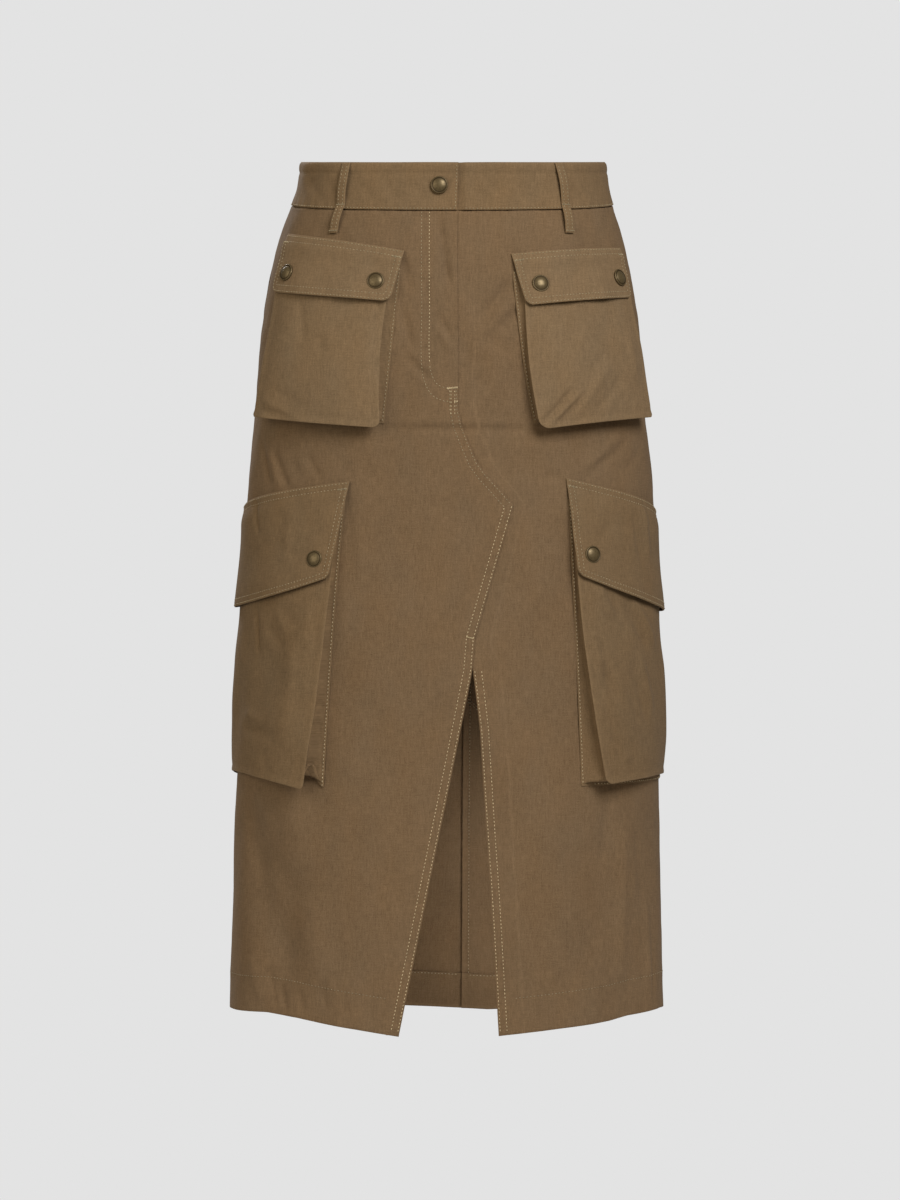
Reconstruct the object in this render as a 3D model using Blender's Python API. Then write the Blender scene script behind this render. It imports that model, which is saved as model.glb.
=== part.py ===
"""Cargo utility skirt, worn form without a wearer.

Metres, +Z up. The origin is the centre of the waist opening, halfway up the
waistband. The front faces -Y. The wearer's right side lies at -X.

Every piece of cloth is cut on one skirt surface. A place on that surface has
two numbers: "across" counts quarters of the girth from the centre front
(0 = centre front, 1 = side seam, 2 = centre back, negative on the wearer's
right), and "height" is Z. A third number, "out", moves the place off the
surface towards the outside.
"""

import math

import bmesh
import bpy
import numpy as np
from mathutils import Matrix, Vector

# ---------------------------------------------------------------- the form

# Sections of the skirt's outer face, from the waist to below the hem.
SECTION_COLUMNS = ("height", "half_width", "centre", "front_depth", "back_depth")
SECTIONS = (
    (0.040, 0.1340, 0.0002, 0.0985, 0.0985),
    (0.026, 0.1354, 0.0001, 0.0994, 0.0994),
    (0.001, 0.1386, 0.0000, 0.1006, 0.1008),
    (-0.013, 0.1428, -0.0007, 0.1012, 0.1030),
    (-0.040, 0.1518, -0.0015, 0.1050, 0.1110),
    (-0.083, 0.1621, -0.0023, 0.1090, 0.1190),
    (-0.126, 0.1682, -0.0023, 0.1120, 0.1250),
    (-0.190, 0.1730, -0.0027, 0.1150, 0.1300),
    (-0.265, 0.1803, -0.0025, 0.1170, 0.1310),
    (-0.350, 0.1828, -0.0033, 0.1185, 0.1295),
    (-0.454, 0.1855, -0.0040, 0.1200, 0.1275),
    (-0.560, 0.1891, -0.0052, 0.1210, 0.1260),
    (-0.660, 0.1912, -0.0057, 0.1220, 0.1250),
    (-0.750, 0.1942, -0.0063, 0.1225, 0.1240),
)
SECTION_POWER = 2.3           # 2 is an ellipse, more is squarer
FOLD_GROWTH = 0.45            # share of its length over which a fold deepens
QUARTER_STEPS = 96            # samples along a quarter of the girth
LEVEL_STEPS = 90              # samples down the skirt

# Soft folds of the body cloth. Depth is negative in a trough.
FOLDS = (
    # across_top, height_top, across_bottom, height_bottom, half_width, depth
    (-0.50, -0.545, -0.60, -0.760, 0.022, -0.0040),
    (-0.72, -0.545, -0.78, -0.760, 0.020, 0.0025),
    (-0.30, -0.420, -0.33, -0.760, 0.030, 0.0020),
    (0.60, -0.545, 0.64, -0.760, 0.024, -0.0032),
    (0.82, -0.545, 0.84, -0.760, 0.020, 0.0022),
    (0.34, -0.450, 0.38, -0.760, 0.028, 0.0018),
    (1.36, -0.230, 1.40, -0.760, 0.028, -0.0036),
    (1.62, -0.300, 1.66, -0.760, 0.030, 0.0030),
    (-1.34, -0.250, -1.42, -0.760, 0.028, -0.0034),
    (-1.66, -0.260, -1.62, -0.760, 0.030, 0.0028),
    (-1.84, -0.330, -1.86, -0.760, 0.022, -0.0022),
)

# ---------------------------------------------------------------- edges

WAIST_SIDE_HEIGHT = 0.0261    # top edge of the waistband at the side seams
WAIST_FRONT_SLOPE = 0.1185    # fall of that edge for each metre forward
WAIST_BACK_SLOPE = 0.055      # rise of that edge for each metre back
BAND_SIDE_HEIGHT = -0.0120    # seam under the waistband at the side seams
BAND_FRONT_SLOPE = 0.152
BAND_BACK_SLOPE = 0.055

# The hem rises at the side seams.
HEM = (
    # across, height
    (-2.00, -0.7420),
    (-1.85, -0.7400),
    (-1.60, -0.7370),
    (-1.25, -0.7300),
    (-1.00, -0.7272),
    (-0.87, -0.7257),
    (-0.65, -0.7243),
    (-0.52, -0.7272),
    (-0.30, -0.7352),
    (-0.16, -0.7408),
    (0.18, -0.7402),
    (0.40, -0.7345),
    (0.58, -0.7307),
    (0.66, -0.7275),
    (0.84, -0.7243),
    (1.00, -0.7262),
    (1.25, -0.7320),
    (1.60, -0.7410),
    (1.85, -0.7440),
    (2.00, -0.7420),
)

# Free edge of the right front: fly, crotch curve, corner, tack, slit, hem.
# "girth" is the distance along the cloth from the centre front, in metres.
RIGHT_FRONT_EDGE = (
    # height, girth
    (0.030, 0.0045),
    (-0.029, 0.0050),
    (-0.106, 0.0063),
    (-0.177, 0.0068),
    (-0.201, 0.0073),
    (-0.214, 0.0102),
    (-0.230, 0.0162),
    (-0.246, 0.0231),
    (-0.2565, 0.0308),
    (-0.2677, 0.0412),
    (-0.2832, 0.0550),
    (-0.3986, 0.0224),
    (-0.4261, 0.0203),
    (-0.5370, -0.0006),
    (-0.7600, -0.0445),
)
LEFT_SLIT_EDGE = (
    # height, girth
    (-0.4261, 0.0209),
    (-0.4760, 0.0272),
    (-0.6058, 0.0369),
    (-0.7600, 0.0468),
)
SLIT_TOP = -0.4261            # apex of the open slit
TACK_HEIGHT = -0.3986         # bar tack where the lap ends
APEX_ROW = -0.4124            # halfway between them
LAP = 0.010                   # hidden width of the left front under the right
BAND_LAP = 0.032              # hidden width of the band's left end
CENTRE_BACK_SEAM = 1.952      # across of the seam between the two backs

# ---------------------------------------------------------------- cloth

GAP = 0.0003                  # between pieces that meet at a seam
SEAT = 0.0005                 # between a curved piece and what it lies on
BODY_WALL = 0.0015
BAND_WALL = 0.0024
BAND_PROUD = 0.0006           # band's outer face beyond the body's
POCKET_WALL = 0.0012
FLAP_WALL = 0.0015
GUSSET_WALL = 0.0014
LOOP_WALL = 0.0014
TUCK_START = 0.005            # a tucked panel starts to come out this far from the lap
BAND_TUCK_START = 0.001       # the band's tucked end does so here
TUCK_RAMP = 0.012             # and is out after this much more
TUCK_FADE = 0.05              # the tuck dies away over this length below the slit's apex

# ---------------------------------------------------------------- grids

BODY_COLUMNS = 15
BACK_COLUMNS = 14
BAND_COLUMNS = 34
BODY_ROW = 0.029              # spacing of rows down a panel
LEFT_LAP_SHARES = (0.0, 0.045, 0.095, 0.15)   # closer columns where the lap is
BAND_LAP_COLUMNS = 4
MID_HEIGHT = -0.300           # where a side seam's gap is measured
# Heights at which each panel has a row of its own.
RIGHT_FRONT_BREAKS = (-0.106, -0.177, -0.201, -0.230, -0.2565, -0.2832, TACK_HEIGHT,
                      APEX_ROW, SLIT_TOP, -0.537, -0.660)
LEFT_FRONT_BREAKS = (-0.106, -0.177, -0.201, -0.230, -0.2565, -0.2832, TACK_HEIGHT,
                     APEX_ROW, SLIT_TOP, -0.476, -0.606)
BACK_BREAKS = (-0.106, -0.300, -0.520, -0.660)
SHARP_ANGLE = math.radians(40)

# ---------------------------------------------------------------- belt loops

LOOP_WIDTH = 0.0084
LOOP_LENGTH = 0.062
LOOP_DROP = 0.0006            # its top below the band's top edge
LOOP_SEAM_SHARE = 0.60        # share down the strip where it crosses the band's seam
FRONT_LOOPS = (
    # name, girth_top, girth_seam, girth_end
    ("belt_loop_front_right", -0.0957, -0.0989, -0.1049),
    ("belt_loop_front_left", 0.0943, 0.1015, 0.1054),
)
BACK_LOOPS = (
    # name, across
    ("belt_loop_back_right", -1.42),
    ("belt_loop_back_left", 1.42),
    ("belt_loop_centre_back", 2.00),
)
# Underside of the strip above the skirt surface, down the loop.
LOOP_PROFILE = (
    # down, out
    (0.00, 0.0011),
    (0.10, 0.0024),
    (0.22, 0.0035),
    (0.36, 0.0036),
    (0.50, 0.0024),
    (0.60, 0.0012),
    (0.70, 0.0026),
    (0.80, 0.0032),
    (0.91, 0.0022),
    (1.00, 0.0006),
)

# ---------------------------------------------------------------- pockets

# Each edge runs between two corners and bows sideways at its middle.
# Corners are (across, height). The order is inner top, inner bottom,
# outer bottom, outer top. Bows are in quarters for the inner and outer
# edges and in metres for the bottom edge.
POCKETS = {
    "upper_right": {
        "base": ((-0.194, -0.078), (-0.241, -0.213), (-0.748, -0.203), (-0.738, -0.064)),
        "base_bow": (0.000, 0.000, 0.000),
        "face": ((-0.222, -0.078), (-0.244, -0.216), (-0.753, -0.2045), (-0.733, -0.064)),
        "face_bow": (-0.022, -0.001, 0.008),
        "flap_top": ((-0.185, -0.0630), (-0.460, -0.0525), (-0.775, -0.0425)),
        "flap_bottom": ((-0.226, -0.1078), (-0.480, -0.1020), (-0.742, -0.0950)),
        "stand": {"mouth": 0.0014, "inner": 0.0135, "side": 0.0130, "outer": 0.0145,
                  "puff": 0.0030, "side_at": 0.60, "side_lag": 0.80},
        "face_cells": (9, 9),
        "flap_cells": (10, 4),
        "gusset_cells": (8, 9, 8),
    },
    "upper_left": {
        "base": ((0.252, -0.081), (0.308, -0.212), (0.780, -0.202), (0.770, -0.070)),
        "base_bow": (0.000, 0.000, 0.000),
        "face": ((0.272, -0.081), (0.316, -0.215), (0.786, -0.2045), (0.768, -0.070)),
        "face_bow": (-0.010, -0.001, 0.000),
        "flap_top": ((0.241, -0.0655), (0.503, -0.0598), (0.795, -0.0545)),
        "flap_bottom": ((0.284, -0.1105), (0.520, -0.1070), (0.758, -0.1010)),
        "stand": {"mouth": 0.0014, "inner": 0.0135, "side": 0.0130, "outer": 0.0145,
                  "puff": 0.0030, "side_at": 0.60, "side_lag": 0.80},
        "face_cells": (9, 9),
        "flap_cells": (10, 4),
        "gusset_cells": (8, 9, 8),
    },
    "lower_right": {
        "base": ((-0.376, -0.281), (-0.430, -0.527), (-1.170, -0.522), (-1.170, -0.306)),
        "base_bow": (-0.008, 0.000, 0.000),
        "face": ((-0.398, -0.281), (-0.478, -0.5285), (-1.165, -0.523), (-1.165, -0.306)),
        "face_bow": (0.014, 0.006, 0.000),
        "flap_top": ((-0.361, -0.2624), (-0.760, -0.2740), (-1.190, -0.2900)),
        "flap_bottom": ((-0.416, -0.3450), (-0.790, -0.3680), (-1.188, -0.3830)),
        "stand": {"mouth": 0.0013, "inner": 0.0185, "side": 0.0020, "outer": 0.0060,
                  "puff": 0.0024, "side_at": 0.66, "side_lag": 2.00},
        "face_cells": (14, 12),
        "flap_cells": (15, 5),
        "gusset_cells": (11, 13, 9),
    },
    "lower_left": {
        "base": ((0.424, -0.278), (0.468, -0.526), (1.170, -0.522), (1.170, -0.310)),
        "base_bow": (0.004, 0.000, 0.000),
        "face": ((0.440, -0.278), (0.528, -0.5245), (1.165, -0.523), (1.165, -0.310)),
        "face_bow": (-0.022, 0.005, 0.000),
        "flap_top": ((0.419, -0.2594), (0.790, -0.2770), (1.190, -0.2940)),
        "flap_bottom": ((0.442, -0.3425), (0.790, -0.3690), (1.188, -0.3870)),
        "stand": {"mouth": 0.0013, "inner": 0.0190, "side": 0.0032, "outer": 0.0060,
                  "puff": 0.0036, "side_at": 0.64, "side_lag": 2.00},
        "face_cells": (14, 12),
        "flap_cells": (15, 5),
        "gusset_cells": (11, 13, 9),
    },
}
FLAP_RISE = 0.20              # share of the flap over which it lifts off the body
GUSSET_FOLD = 0.34            # in-fold of the gusset, as a share of its depth
RIM_INSET = 0.0008            # the gusset's rim inside the edge of the face
FACE_CORNER_PULL = 0.03       # a face's lower corners are drawn in by this share
INNER_LAG = 0.75              # under 1, a pouch opens fast below its mouth
PUFF_LAG = 1.6                # over 1, a face bulges below its middle
FACE_OVERHANG = 1.1           # share down to which a pouch goes on opening

# ---------------------------------------------------------------- snaps

SNAP_SEGMENTS = 16
SNAP_SEAT = 0.0004
SNAP_REACH = 0.003            # its facing is taken from the cloth this far round it
SNAPS = (
    # name, girth, height, carrier
    ("snap_waist", -0.0105, -0.0058, "waistband"),
    ("snap_upper_outer_right", -0.1465, -0.0803, "upper_right"),
    ("snap_upper_inner_right", -0.0627, -0.0909, "upper_right"),
    ("snap_upper_inner_left", 0.0768, -0.0923, "upper_left"),
    ("snap_upper_outer_left", 0.1542, -0.0836, "upper_left"),
    ("snap_lower_right", -0.1143, -0.3297, "lower_right"),
    ("snap_lower_left", 0.1224, -0.3253, "lower_left"),
)
SNAP_PROFILE = (
    # radius, rise
    (0.0070, 0.0000),
    (0.0076, 0.0006),
    (0.0075, 0.0014),
    (0.0066, 0.0018),
    (0.0060, 0.0016),
    (0.0040, 0.0024),
)
SNAP_CROWN = 0.0027           # rise at the middle of the cap

# ---------------------------------------------------------------- colours

TWILL = (124, 100, 72)
TWILL_LIGHT = (127, 104, 76)
TWILL_DEEP = (116, 93, 68)
ANTIQUE_BRASS = (112, 98, 62)
CLOTH_ROUGHNESS = 0.88
BRASS_ROUGHNESS = 0.36
BRASS_METALLIC = 0.9


# ================================================================ surface

def ease(value):
    """0 below 0, 1 above 1, smooth between."""
    value = np.clip(value, 0.0, 1.0)
    return value * value * (3.0 - 2.0 * value)


def through(table, value):
    """Read a two-column table at a value of its first column, in straight steps."""
    rows = np.array(sorted(table))
    return np.interp(value, rows[:, 0], rows[:, 1])


def section(height, column):
    """One column of SECTIONS, on a smooth curve through its rows."""
    rows = np.array(sorted(SECTIONS))
    x = rows[:, 0]
    y = rows[:, SECTION_COLUMNS.index(column)]
    steps = np.diff(y) / np.diff(x)
    slopes = np.concatenate(([steps[0]], (steps[:-1] + steps[1:]) / 2.0, [steps[-1]]))
    height = np.clip(height, x[0], x[-1])
    i = np.clip(np.searchsorted(x, height, side="right") - 1, 0, len(x) - 2)
    h = x[i + 1] - x[i]
    t = (height - x[i]) / h
    return (y[i] * (1 + 2 * t) * (1 - t) ** 2 + slopes[i] * h * t * (1 - t) ** 2
            + y[i + 1] * t * t * (3 - 2 * t) + slopes[i + 1] * h * t * t * (t - 1))


def quarter_tables(depth_column):
    """Shape of a quarter section by arc share: x, y and the quarter's length."""
    angles = np.linspace(0.0, math.pi / 2, 4 * QUARTER_STEPS)
    heights = np.linspace(SECTIONS[-1][0], SECTIONS[0][0], LEVEL_STEPS)
    shares = np.linspace(0.0, 1.0, QUARTER_STEPS)
    xs = []
    ys = []
    lengths = []
    for height in heights:
        width = section(height, "half_width")
        depth = section(height, depth_column)
        x = width * np.sin(angles) ** (2 / SECTION_POWER)
        y = depth * np.cos(angles) ** (2 / SECTION_POWER)
        arc = np.concatenate(([0.0], np.cumsum(np.hypot(np.diff(x), np.diff(y)))))
        xs.append(np.interp(shares * arc[-1], arc, x))
        ys.append(np.interp(shares * arc[-1], arc, y))
        lengths.append(arc[-1])
    return heights, np.array(xs), np.array(ys), np.array(lengths)


FRONT_QUARTER = quarter_tables("front_depth")
BACK_QUARTER = quarter_tables("back_depth")


def lookup(table, heights, height, share):
    """Bilinear read of a table by height and arc share."""
    rows, columns = table.shape
    row = (height - heights[0]) / (heights[-1] - heights[0]) * (rows - 1)
    row = np.clip(row, 0.0, rows - 1.001)
    column = np.clip(share * (columns - 1), 0.0, columns - 1.001)
    i = row.astype(int)
    j = column.astype(int)
    u = row - i
    v = column - j
    return ((1 - u) * (1 - v) * table[i, j] + u * (1 - v) * table[i + 1, j]
            + (1 - u) * v * table[i, j + 1] + u * v * table[i + 1, j + 1])


def quarter_length(height, back=False):
    """Length along the cloth from centre front (or back) to the side seam."""
    heights, _, _, lengths = BACK_QUARTER if back else FRONT_QUARTER
    return np.interp(height, heights, lengths)


def across_from_girth(girth, height):
    """Quarters of the girth for a distance in metres from the centre front."""
    front = quarter_length(height)
    back = quarter_length(height, back=True)
    size = np.abs(girth)
    beyond = 1.0 + (size - front) / back
    return np.sign(girth) * np.where(size <= front, size / front, beyond)


def fold_depth(across, height):
    """Sum of the soft folds at a place on the body cloth."""
    total = np.zeros(np.broadcast(across, height).shape)
    length = quarter_length(height)
    for top, high, bottom, low, half_width, depth in FOLDS:
        down = np.clip((high - height) / (high - low), 0.0, 1.0)
        middle = top + (bottom - top) * down
        away = (across - middle) * length / half_width
        total = total + depth * np.exp(-away ** 2) * ease(down / FOLD_GROWTH)
    return total


def place(across, height, out=0.0):
    """World points for places on the skirt surface, moved out by "out"."""
    across, height, out = np.broadcast_arrays(np.asarray(across, float),
                                              np.asarray(height, float),
                                              np.asarray(out, float))
    around = np.mod(across + 2.0, 4.0) - 2.0
    side = np.where(around < 0.0, -1.0, 1.0)
    size = np.abs(around)
    is_front = size <= 1.0
    heights, front_x, front_y, _ = FRONT_QUARTER
    _, back_x, back_y, _ = BACK_QUARTER
    front_share = np.clip(size, 0.0, 1.0)
    back_share = np.clip(2.0 - size, 0.0, 1.0)
    x = np.where(is_front, lookup(front_x, heights, height, front_share),
                 lookup(back_x, heights, height, back_share))
    y = np.where(is_front, -lookup(front_y, heights, height, front_share),
                 lookup(back_y, heights, height, back_share))
    width = section(height, "half_width")
    depth = np.where(is_front, section(height, "front_depth"),
                     section(height, "back_depth"))
    normal_x = (x / width) ** (SECTION_POWER - 1) / width
    normal_y = np.sign(y) * np.abs(y / depth) ** (SECTION_POWER - 1) / depth
    size = np.hypot(normal_x, normal_y)
    moved = out + fold_depth(around, height)
    return np.stack((section(height, "centre") + side * (x + moved * normal_x / size),
                     y + moved * normal_y / size,
                     height), axis=-1)


def edge_height(across, side_height, front_slope, back_slope):
    """Height of an edge that tilts with the depth of the skirt."""
    across = np.asarray(across, float)
    level = np.full(across.shape, side_height)
    for _ in range(3):
        depth = place(across, level)[..., 1]
        level = side_height + np.where(depth < 0, front_slope, back_slope) * depth
    return level


def waist_top(across):
    return edge_height(across, WAIST_SIDE_HEIGHT, WAIST_FRONT_SLOPE, WAIST_BACK_SLOPE)


def band_seam(across):
    return edge_height(across, BAND_SIDE_HEIGHT, BAND_FRONT_SLOPE, BAND_BACK_SLOPE)


def hem_height(across):
    around = np.mod(np.asarray(across, float) + 2.0, 4.0) - 2.0
    return through(HEM, around)


# ================================================================ meshes

def material(name, colour, roughness=CLOTH_ROUGHNESS, metallic=0.0):
    """A Principled material from an 8-bit display colour."""
    made = bpy.data.materials.new(name)
    made.use_nodes = True
    shader = made.node_tree.nodes["Principled BSDF"]
    linear = [((c / 255 + 0.055) / 1.055) ** 2.4 for c in colour]
    shader.inputs["Base Color"].default_value = (*linear, 1.0)
    shader.inputs["Roughness"].default_value = roughness
    shader.inputs["Metallic"].default_value = metallic
    made.diffuse_color = (*linear, 1.0)
    return made


def add_object(name, mesh_data, made_of):
    """Link a mesh as a named object with one material, its faces outward."""
    mesh = bpy.data.meshes.new(name)
    bmesh.ops.recalc_face_normals(mesh_data, faces=mesh_data.faces)
    mesh_data.to_mesh(mesh)
    mesh_data.free()
    mesh.materials.append(made_of)
    mesh.shade_smooth()
    mesh.set_sharp_from_angle(angle=SHARP_ANGLE)
    thing = bpy.data.objects.new(name, mesh)
    bpy.context.scene.collection.objects.link(thing)
    return thing


def cloth_wall(name, outer, inner, made_of):
    """A closed wall between two grids of points of the same shape."""
    rows, columns, _ = outer.shape
    mesh = bmesh.new()
    skins = []
    for grid in (outer, inner):
        skins.append([[mesh.verts.new(grid[i, j]) for j in range(columns)]
                      for i in range(rows)])
    front, back = skins
    for i in range(rows - 1):
        for j in range(columns - 1):
            mesh.faces.new((front[i][j], front[i][j + 1],
                            front[i + 1][j + 1], front[i + 1][j]))
            mesh.faces.new((back[i][j], back[i + 1][j],
                            back[i + 1][j + 1], back[i][j + 1]))
    rim = [(0, j) for j in range(columns)]
    rim += [(i, columns - 1) for i in range(1, rows)]
    rim += [(rows - 1, j) for j in range(columns - 2, -1, -1)]
    rim += [(i, 0) for i in range(rows - 2, 0, -1)]
    for k, (i, j) in enumerate(rim):
        m, n = rim[(k + 1) % len(rim)]
        mesh.faces.new((front[i][j], back[i][j], back[m][n], front[m][n]))
    return add_object(name, mesh, made_of)


def wall_on_surface(name, across, height, outer_out, wall, made_of):
    """A cloth wall whose outer face lies "outer_out" off the skirt surface."""
    return cloth_wall(name, place(across, height, outer_out),
                      place(across, height, outer_out - wall), made_of)


# ================================================================ body panels

def panel_places(breaks, across_of):
    """Grid of a panel from the band seam to the hem, with rows at the breaks.

    across_of gives the across of a grid's places for their heights.
    """
    steps = []
    upper_rows = round((BAND_SIDE_HEIGHT - breaks[0]) / BODY_ROW)
    for k in range(upper_rows):
        share = k / upper_rows
        steps.append((1.0 - share, breaks[0] * share, 0.0))
    for high, low in zip(breaks[:-1], breaks[1:]):
        count = max(1, round((high - low) / BODY_ROW))
        for k in range(count):
            steps.append((0.0, high + (low - high) * k / count, 0.0))
    lower_rows = round((breaks[-1] - HEM[0][1]) / BODY_ROW)
    for k in range(lower_rows + 1):
        share = k / lower_rows
        steps.append((0.0, breaks[-1] * (1.0 - share), share))
    of_top, level, of_hem = np.array(steps).T[:, :, None]
    height = of_top * BAND_SIDE_HEIGHT + level + of_hem * HEM[0][1]
    for _ in range(4):
        across = across_of(height)
        top = band_seam(across[0]) - GAP
        hem = hem_height(across[-1])
        height = of_top * top + level + of_hem * hem
    return across_of(height), height


def front_right():
    shares = np.linspace(0.0, 1.0, BODY_COLUMNS + 1)
    side = -1.0 + GAP / 2 / quarter_length(MID_HEIGHT)

    def across_of(height):
        edge = across_from_girth(through(RIGHT_FRONT_EDGE, height), height)
        return side + (edge - side) * shares

    across, height = panel_places(RIGHT_FRONT_BREAKS, across_of)
    return wall_on_surface("front_right", across, height, 0.0, BODY_WALL,
                           material("twill_front_right", TWILL))


def front_left():
    """The left front, tucked under the right one as far as the slit's apex."""
    side = 1.0 - GAP / 2 / quarter_length(MID_HEIGHT)
    shares = np.concatenate((LEFT_LAP_SHARES[:-1],
                             np.linspace(LEFT_LAP_SHARES[-1], 1.0, BODY_COLUMNS - 2)))

    def across_of(height):
        lap_line = through(RIGHT_FRONT_EDGE, height)
        slit_line = through(LEFT_SLIT_EDGE, height)
        open_share = ease((TACK_HEIGHT - height) / (TACK_HEIGHT - SLIT_TOP))
        free_edge = (lap_line - LAP) + (slit_line - lap_line + LAP) * open_share
        edge = across_from_girth(free_edge, height)
        return edge + (side - edge) * shares

    across, height = panel_places(LEFT_FRONT_BREAKS, across_of)
    reach = across * quarter_length(height) - through(RIGHT_FRONT_EDGE, height)
    tucked = 1.0 - ease((reach - TUCK_START) / TUCK_RAMP)
    tucked = tucked * (1.0 - ease((SLIT_TOP - height) / TUCK_FADE))
    return wall_on_surface("front_left", across, height, -(BODY_WALL + SEAT) * tucked,
                           BODY_WALL, material("twill_front_left", TWILL))


def back_panels():
    """Two backs. The right one laps over the left at the centre-back seam."""
    length = quarter_length(MID_HEIGHT, back=True)
    side = 1.0 + GAP / 2 / length
    seam = CENTRE_BACK_SEAM
    right = np.linspace(-side, seam - 4.0, BACK_COLUMNS + 1)
    across, height = panel_places(BACK_BREAKS, lambda grid: right + 0.0 * grid)
    wall_on_surface("back_right", across, height, 0.0, BODY_WALL,
                    material("twill_back_right", TWILL_DEEP))
    lap = LAP / length
    left = np.concatenate((np.linspace(side, seam - TUCK_RAMP / length, BACK_COLUMNS - 2),
                           [seam - TUCK_START / length, seam + lap / 2, seam + lap]))
    across, height = panel_places(BACK_BREAKS, lambda grid: left + 0.0 * grid)
    tucked = 1.0 - ease(((seam - across) * length - TUCK_START) / TUCK_RAMP)
    wall_on_surface("back_left", across, height, -(BODY_WALL + SEAT) * tucked,
                    BODY_WALL, material("twill_back_left", TWILL_DEEP))


# ================================================================ waistband

def band_grid(across, tuck):
    """Places of a stretch of waistband in three rows, and its outer offset."""
    rows = []
    top = waist_top(across)
    seam = band_seam(across)
    for share in (0.0, 0.5, 1.0):
        rows.append(seam + (top - seam) * share)
    height = np.array(rows)
    across = np.broadcast_to(across, height.shape)
    out = BAND_PROUD - (BAND_WALL + GAP) * np.broadcast_to(tuck, height.shape)
    return across, height, out


def waistband():
    """Two halves: the right end laps over the left at the front."""
    lap = float(across_from_girth(RIGHT_FRONT_EDGE[0][1], 0.0))
    quarter = float(quarter_length(0.0))
    back_gap = GAP / 2 / quarter
    right = np.linspace(lap, -2.0 + back_gap, BAND_COLUMNS + 1)
    across, height, out = band_grid(right, np.zeros(right.shape))
    wall_on_surface("waistband_right", across, height, out, BAND_WALL,
                    material("twill_band_right", TWILL_LIGHT))
    under = lap - BAND_LAP / quarter
    ramp = lap + BAND_TUCK_START / quarter
    ramp_end = ramp + TUCK_RAMP / quarter
    left = np.concatenate((np.linspace(under, ramp, BAND_LAP_COLUMNS),
                           np.linspace(ramp, ramp_end, BAND_LAP_COLUMNS + 1)[1:],
                           np.linspace(ramp_end, 2.0 - back_gap, BAND_COLUMNS - 3)[1:]))
    tuck = 1.0 - ease((left - ramp) * quarter / TUCK_RAMP)
    across, height, out = band_grid(left, tuck)
    wall_on_surface("waistband_left", across, height, out, BAND_WALL,
                    material("twill_band_left", TWILL_LIGHT))


def belt_loop(name, across_at, made_of):
    """A strip from the band's top edge over the seam, with room for a belt.

    across_at gives the across of the strip's middle for a share down it.
    """
    shares = np.array([row[0] for row in LOOP_PROFILE])
    stand = np.array([row[1] for row in LOOP_PROFILE])
    middle = across_at(shares)
    top = waist_top(middle) - LOOP_DROP
    height = top - shares * LOOP_LENGTH
    half = LOOP_WIDTH / 2 / quarter_length(height)
    across = np.stack((middle - half, middle, middle + half), axis=1)
    height = np.repeat(height[:, None], 3, axis=1)
    out = np.repeat(stand[:, None], 3, axis=1)
    return wall_on_surface(name, across, height, out + LOOP_WALL, LOOP_WALL, made_of)


def belt_loops():
    for name, top, seam, end in FRONT_LOOPS:
        high = float(waist_top(across_from_girth(top, WAIST_SIDE_HEIGHT)))

        def across_at(shares, high=high, girths=(top, seam, end)):
            girth = np.interp(shares, (0.0, LOOP_SEAM_SHARE, 1.0), girths)
            return across_from_girth(girth, high - shares * LOOP_LENGTH)

        belt_loop(name, across_at, material("twill_" + name, TWILL_LIGHT))
    for name, across in BACK_LOOPS:
        def across_at(shares, across=across):
            return np.full(shares.shape, across)

        belt_loop(name, across_at, material("twill_" + name, TWILL_LIGHT))


# ================================================================ pockets

def bowed(start, end, count, across_bow=0.0, height_bow=0.0):
    """Places along an edge between two corners, bowed at its middle."""
    t = np.linspace(0.0, 1.0, count + 1)
    bump = 4.0 * t * (1.0 - t)
    across = start[0] + (end[0] - start[0]) * t + across_bow * bump
    height = start[1] + (end[1] - start[1]) * t + height_bow * bump
    return np.stack((across, height), axis=1)


def stand_off(pocket, across, height):
    """Height of the underside of a pocket's face above the skirt surface."""
    stand = pocket["stand"]
    inner_top, inner_bottom, outer_bottom, outer_top = pocket["base"]
    across_share = (across - inner_bottom[0]) / (outer_bottom[0] - inner_bottom[0])
    across_share = np.clip(across_share, 0.0, 1.0)
    top = inner_top[1] + (outer_top[1] - inner_top[1]) * across_share
    bottom = inner_bottom[1] + (outer_bottom[1] - inner_bottom[1]) * across_share
    down = np.clip((top - height) / (top - bottom), 0.0, FACE_OVERHANG)
    to_side = ease(across_share / stand["side_at"])
    to_outer = ease((across_share - stand["side_at"]) / (1.0 - stand["side_at"]))
    full = stand["inner"] + (stand["side"] - stand["inner"]) * to_side
    full = full + (stand["outer"] - stand["side"]) * to_outer
    grow = down ** (INNER_LAG + (stand["side_lag"] - INNER_LAG) * to_side)
    belly = np.sin(math.pi * np.clip(down, 0.0, 1.0) ** PUFF_LAG)
    puff = stand["puff"] * np.sin(math.pi * across_share) * belly
    return stand["mouth"] + (full - stand["mouth"]) * grow + puff


def patch(inner, outer, top, bottom):
    """A grid of places filled in between four edges."""
    rows = len(inner)
    columns = len(top)
    grid = np.zeros((rows, columns, 2))
    for i in range(rows):
        v = i / (rows - 1)
        for j in range(columns):
            u = j / (columns - 1)
            ruled = (1 - u) * inner[i] + u * outer[i] + (1 - v) * top[j] + v * bottom[j]
            corners = ((1 - u) * (1 - v) * inner[0] + u * (1 - v) * outer[0]
                       + (1 - u) * v * inner[-1] + u * v * outer[-1])
            grid[i, j] = ruled - corners
    return grid


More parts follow.
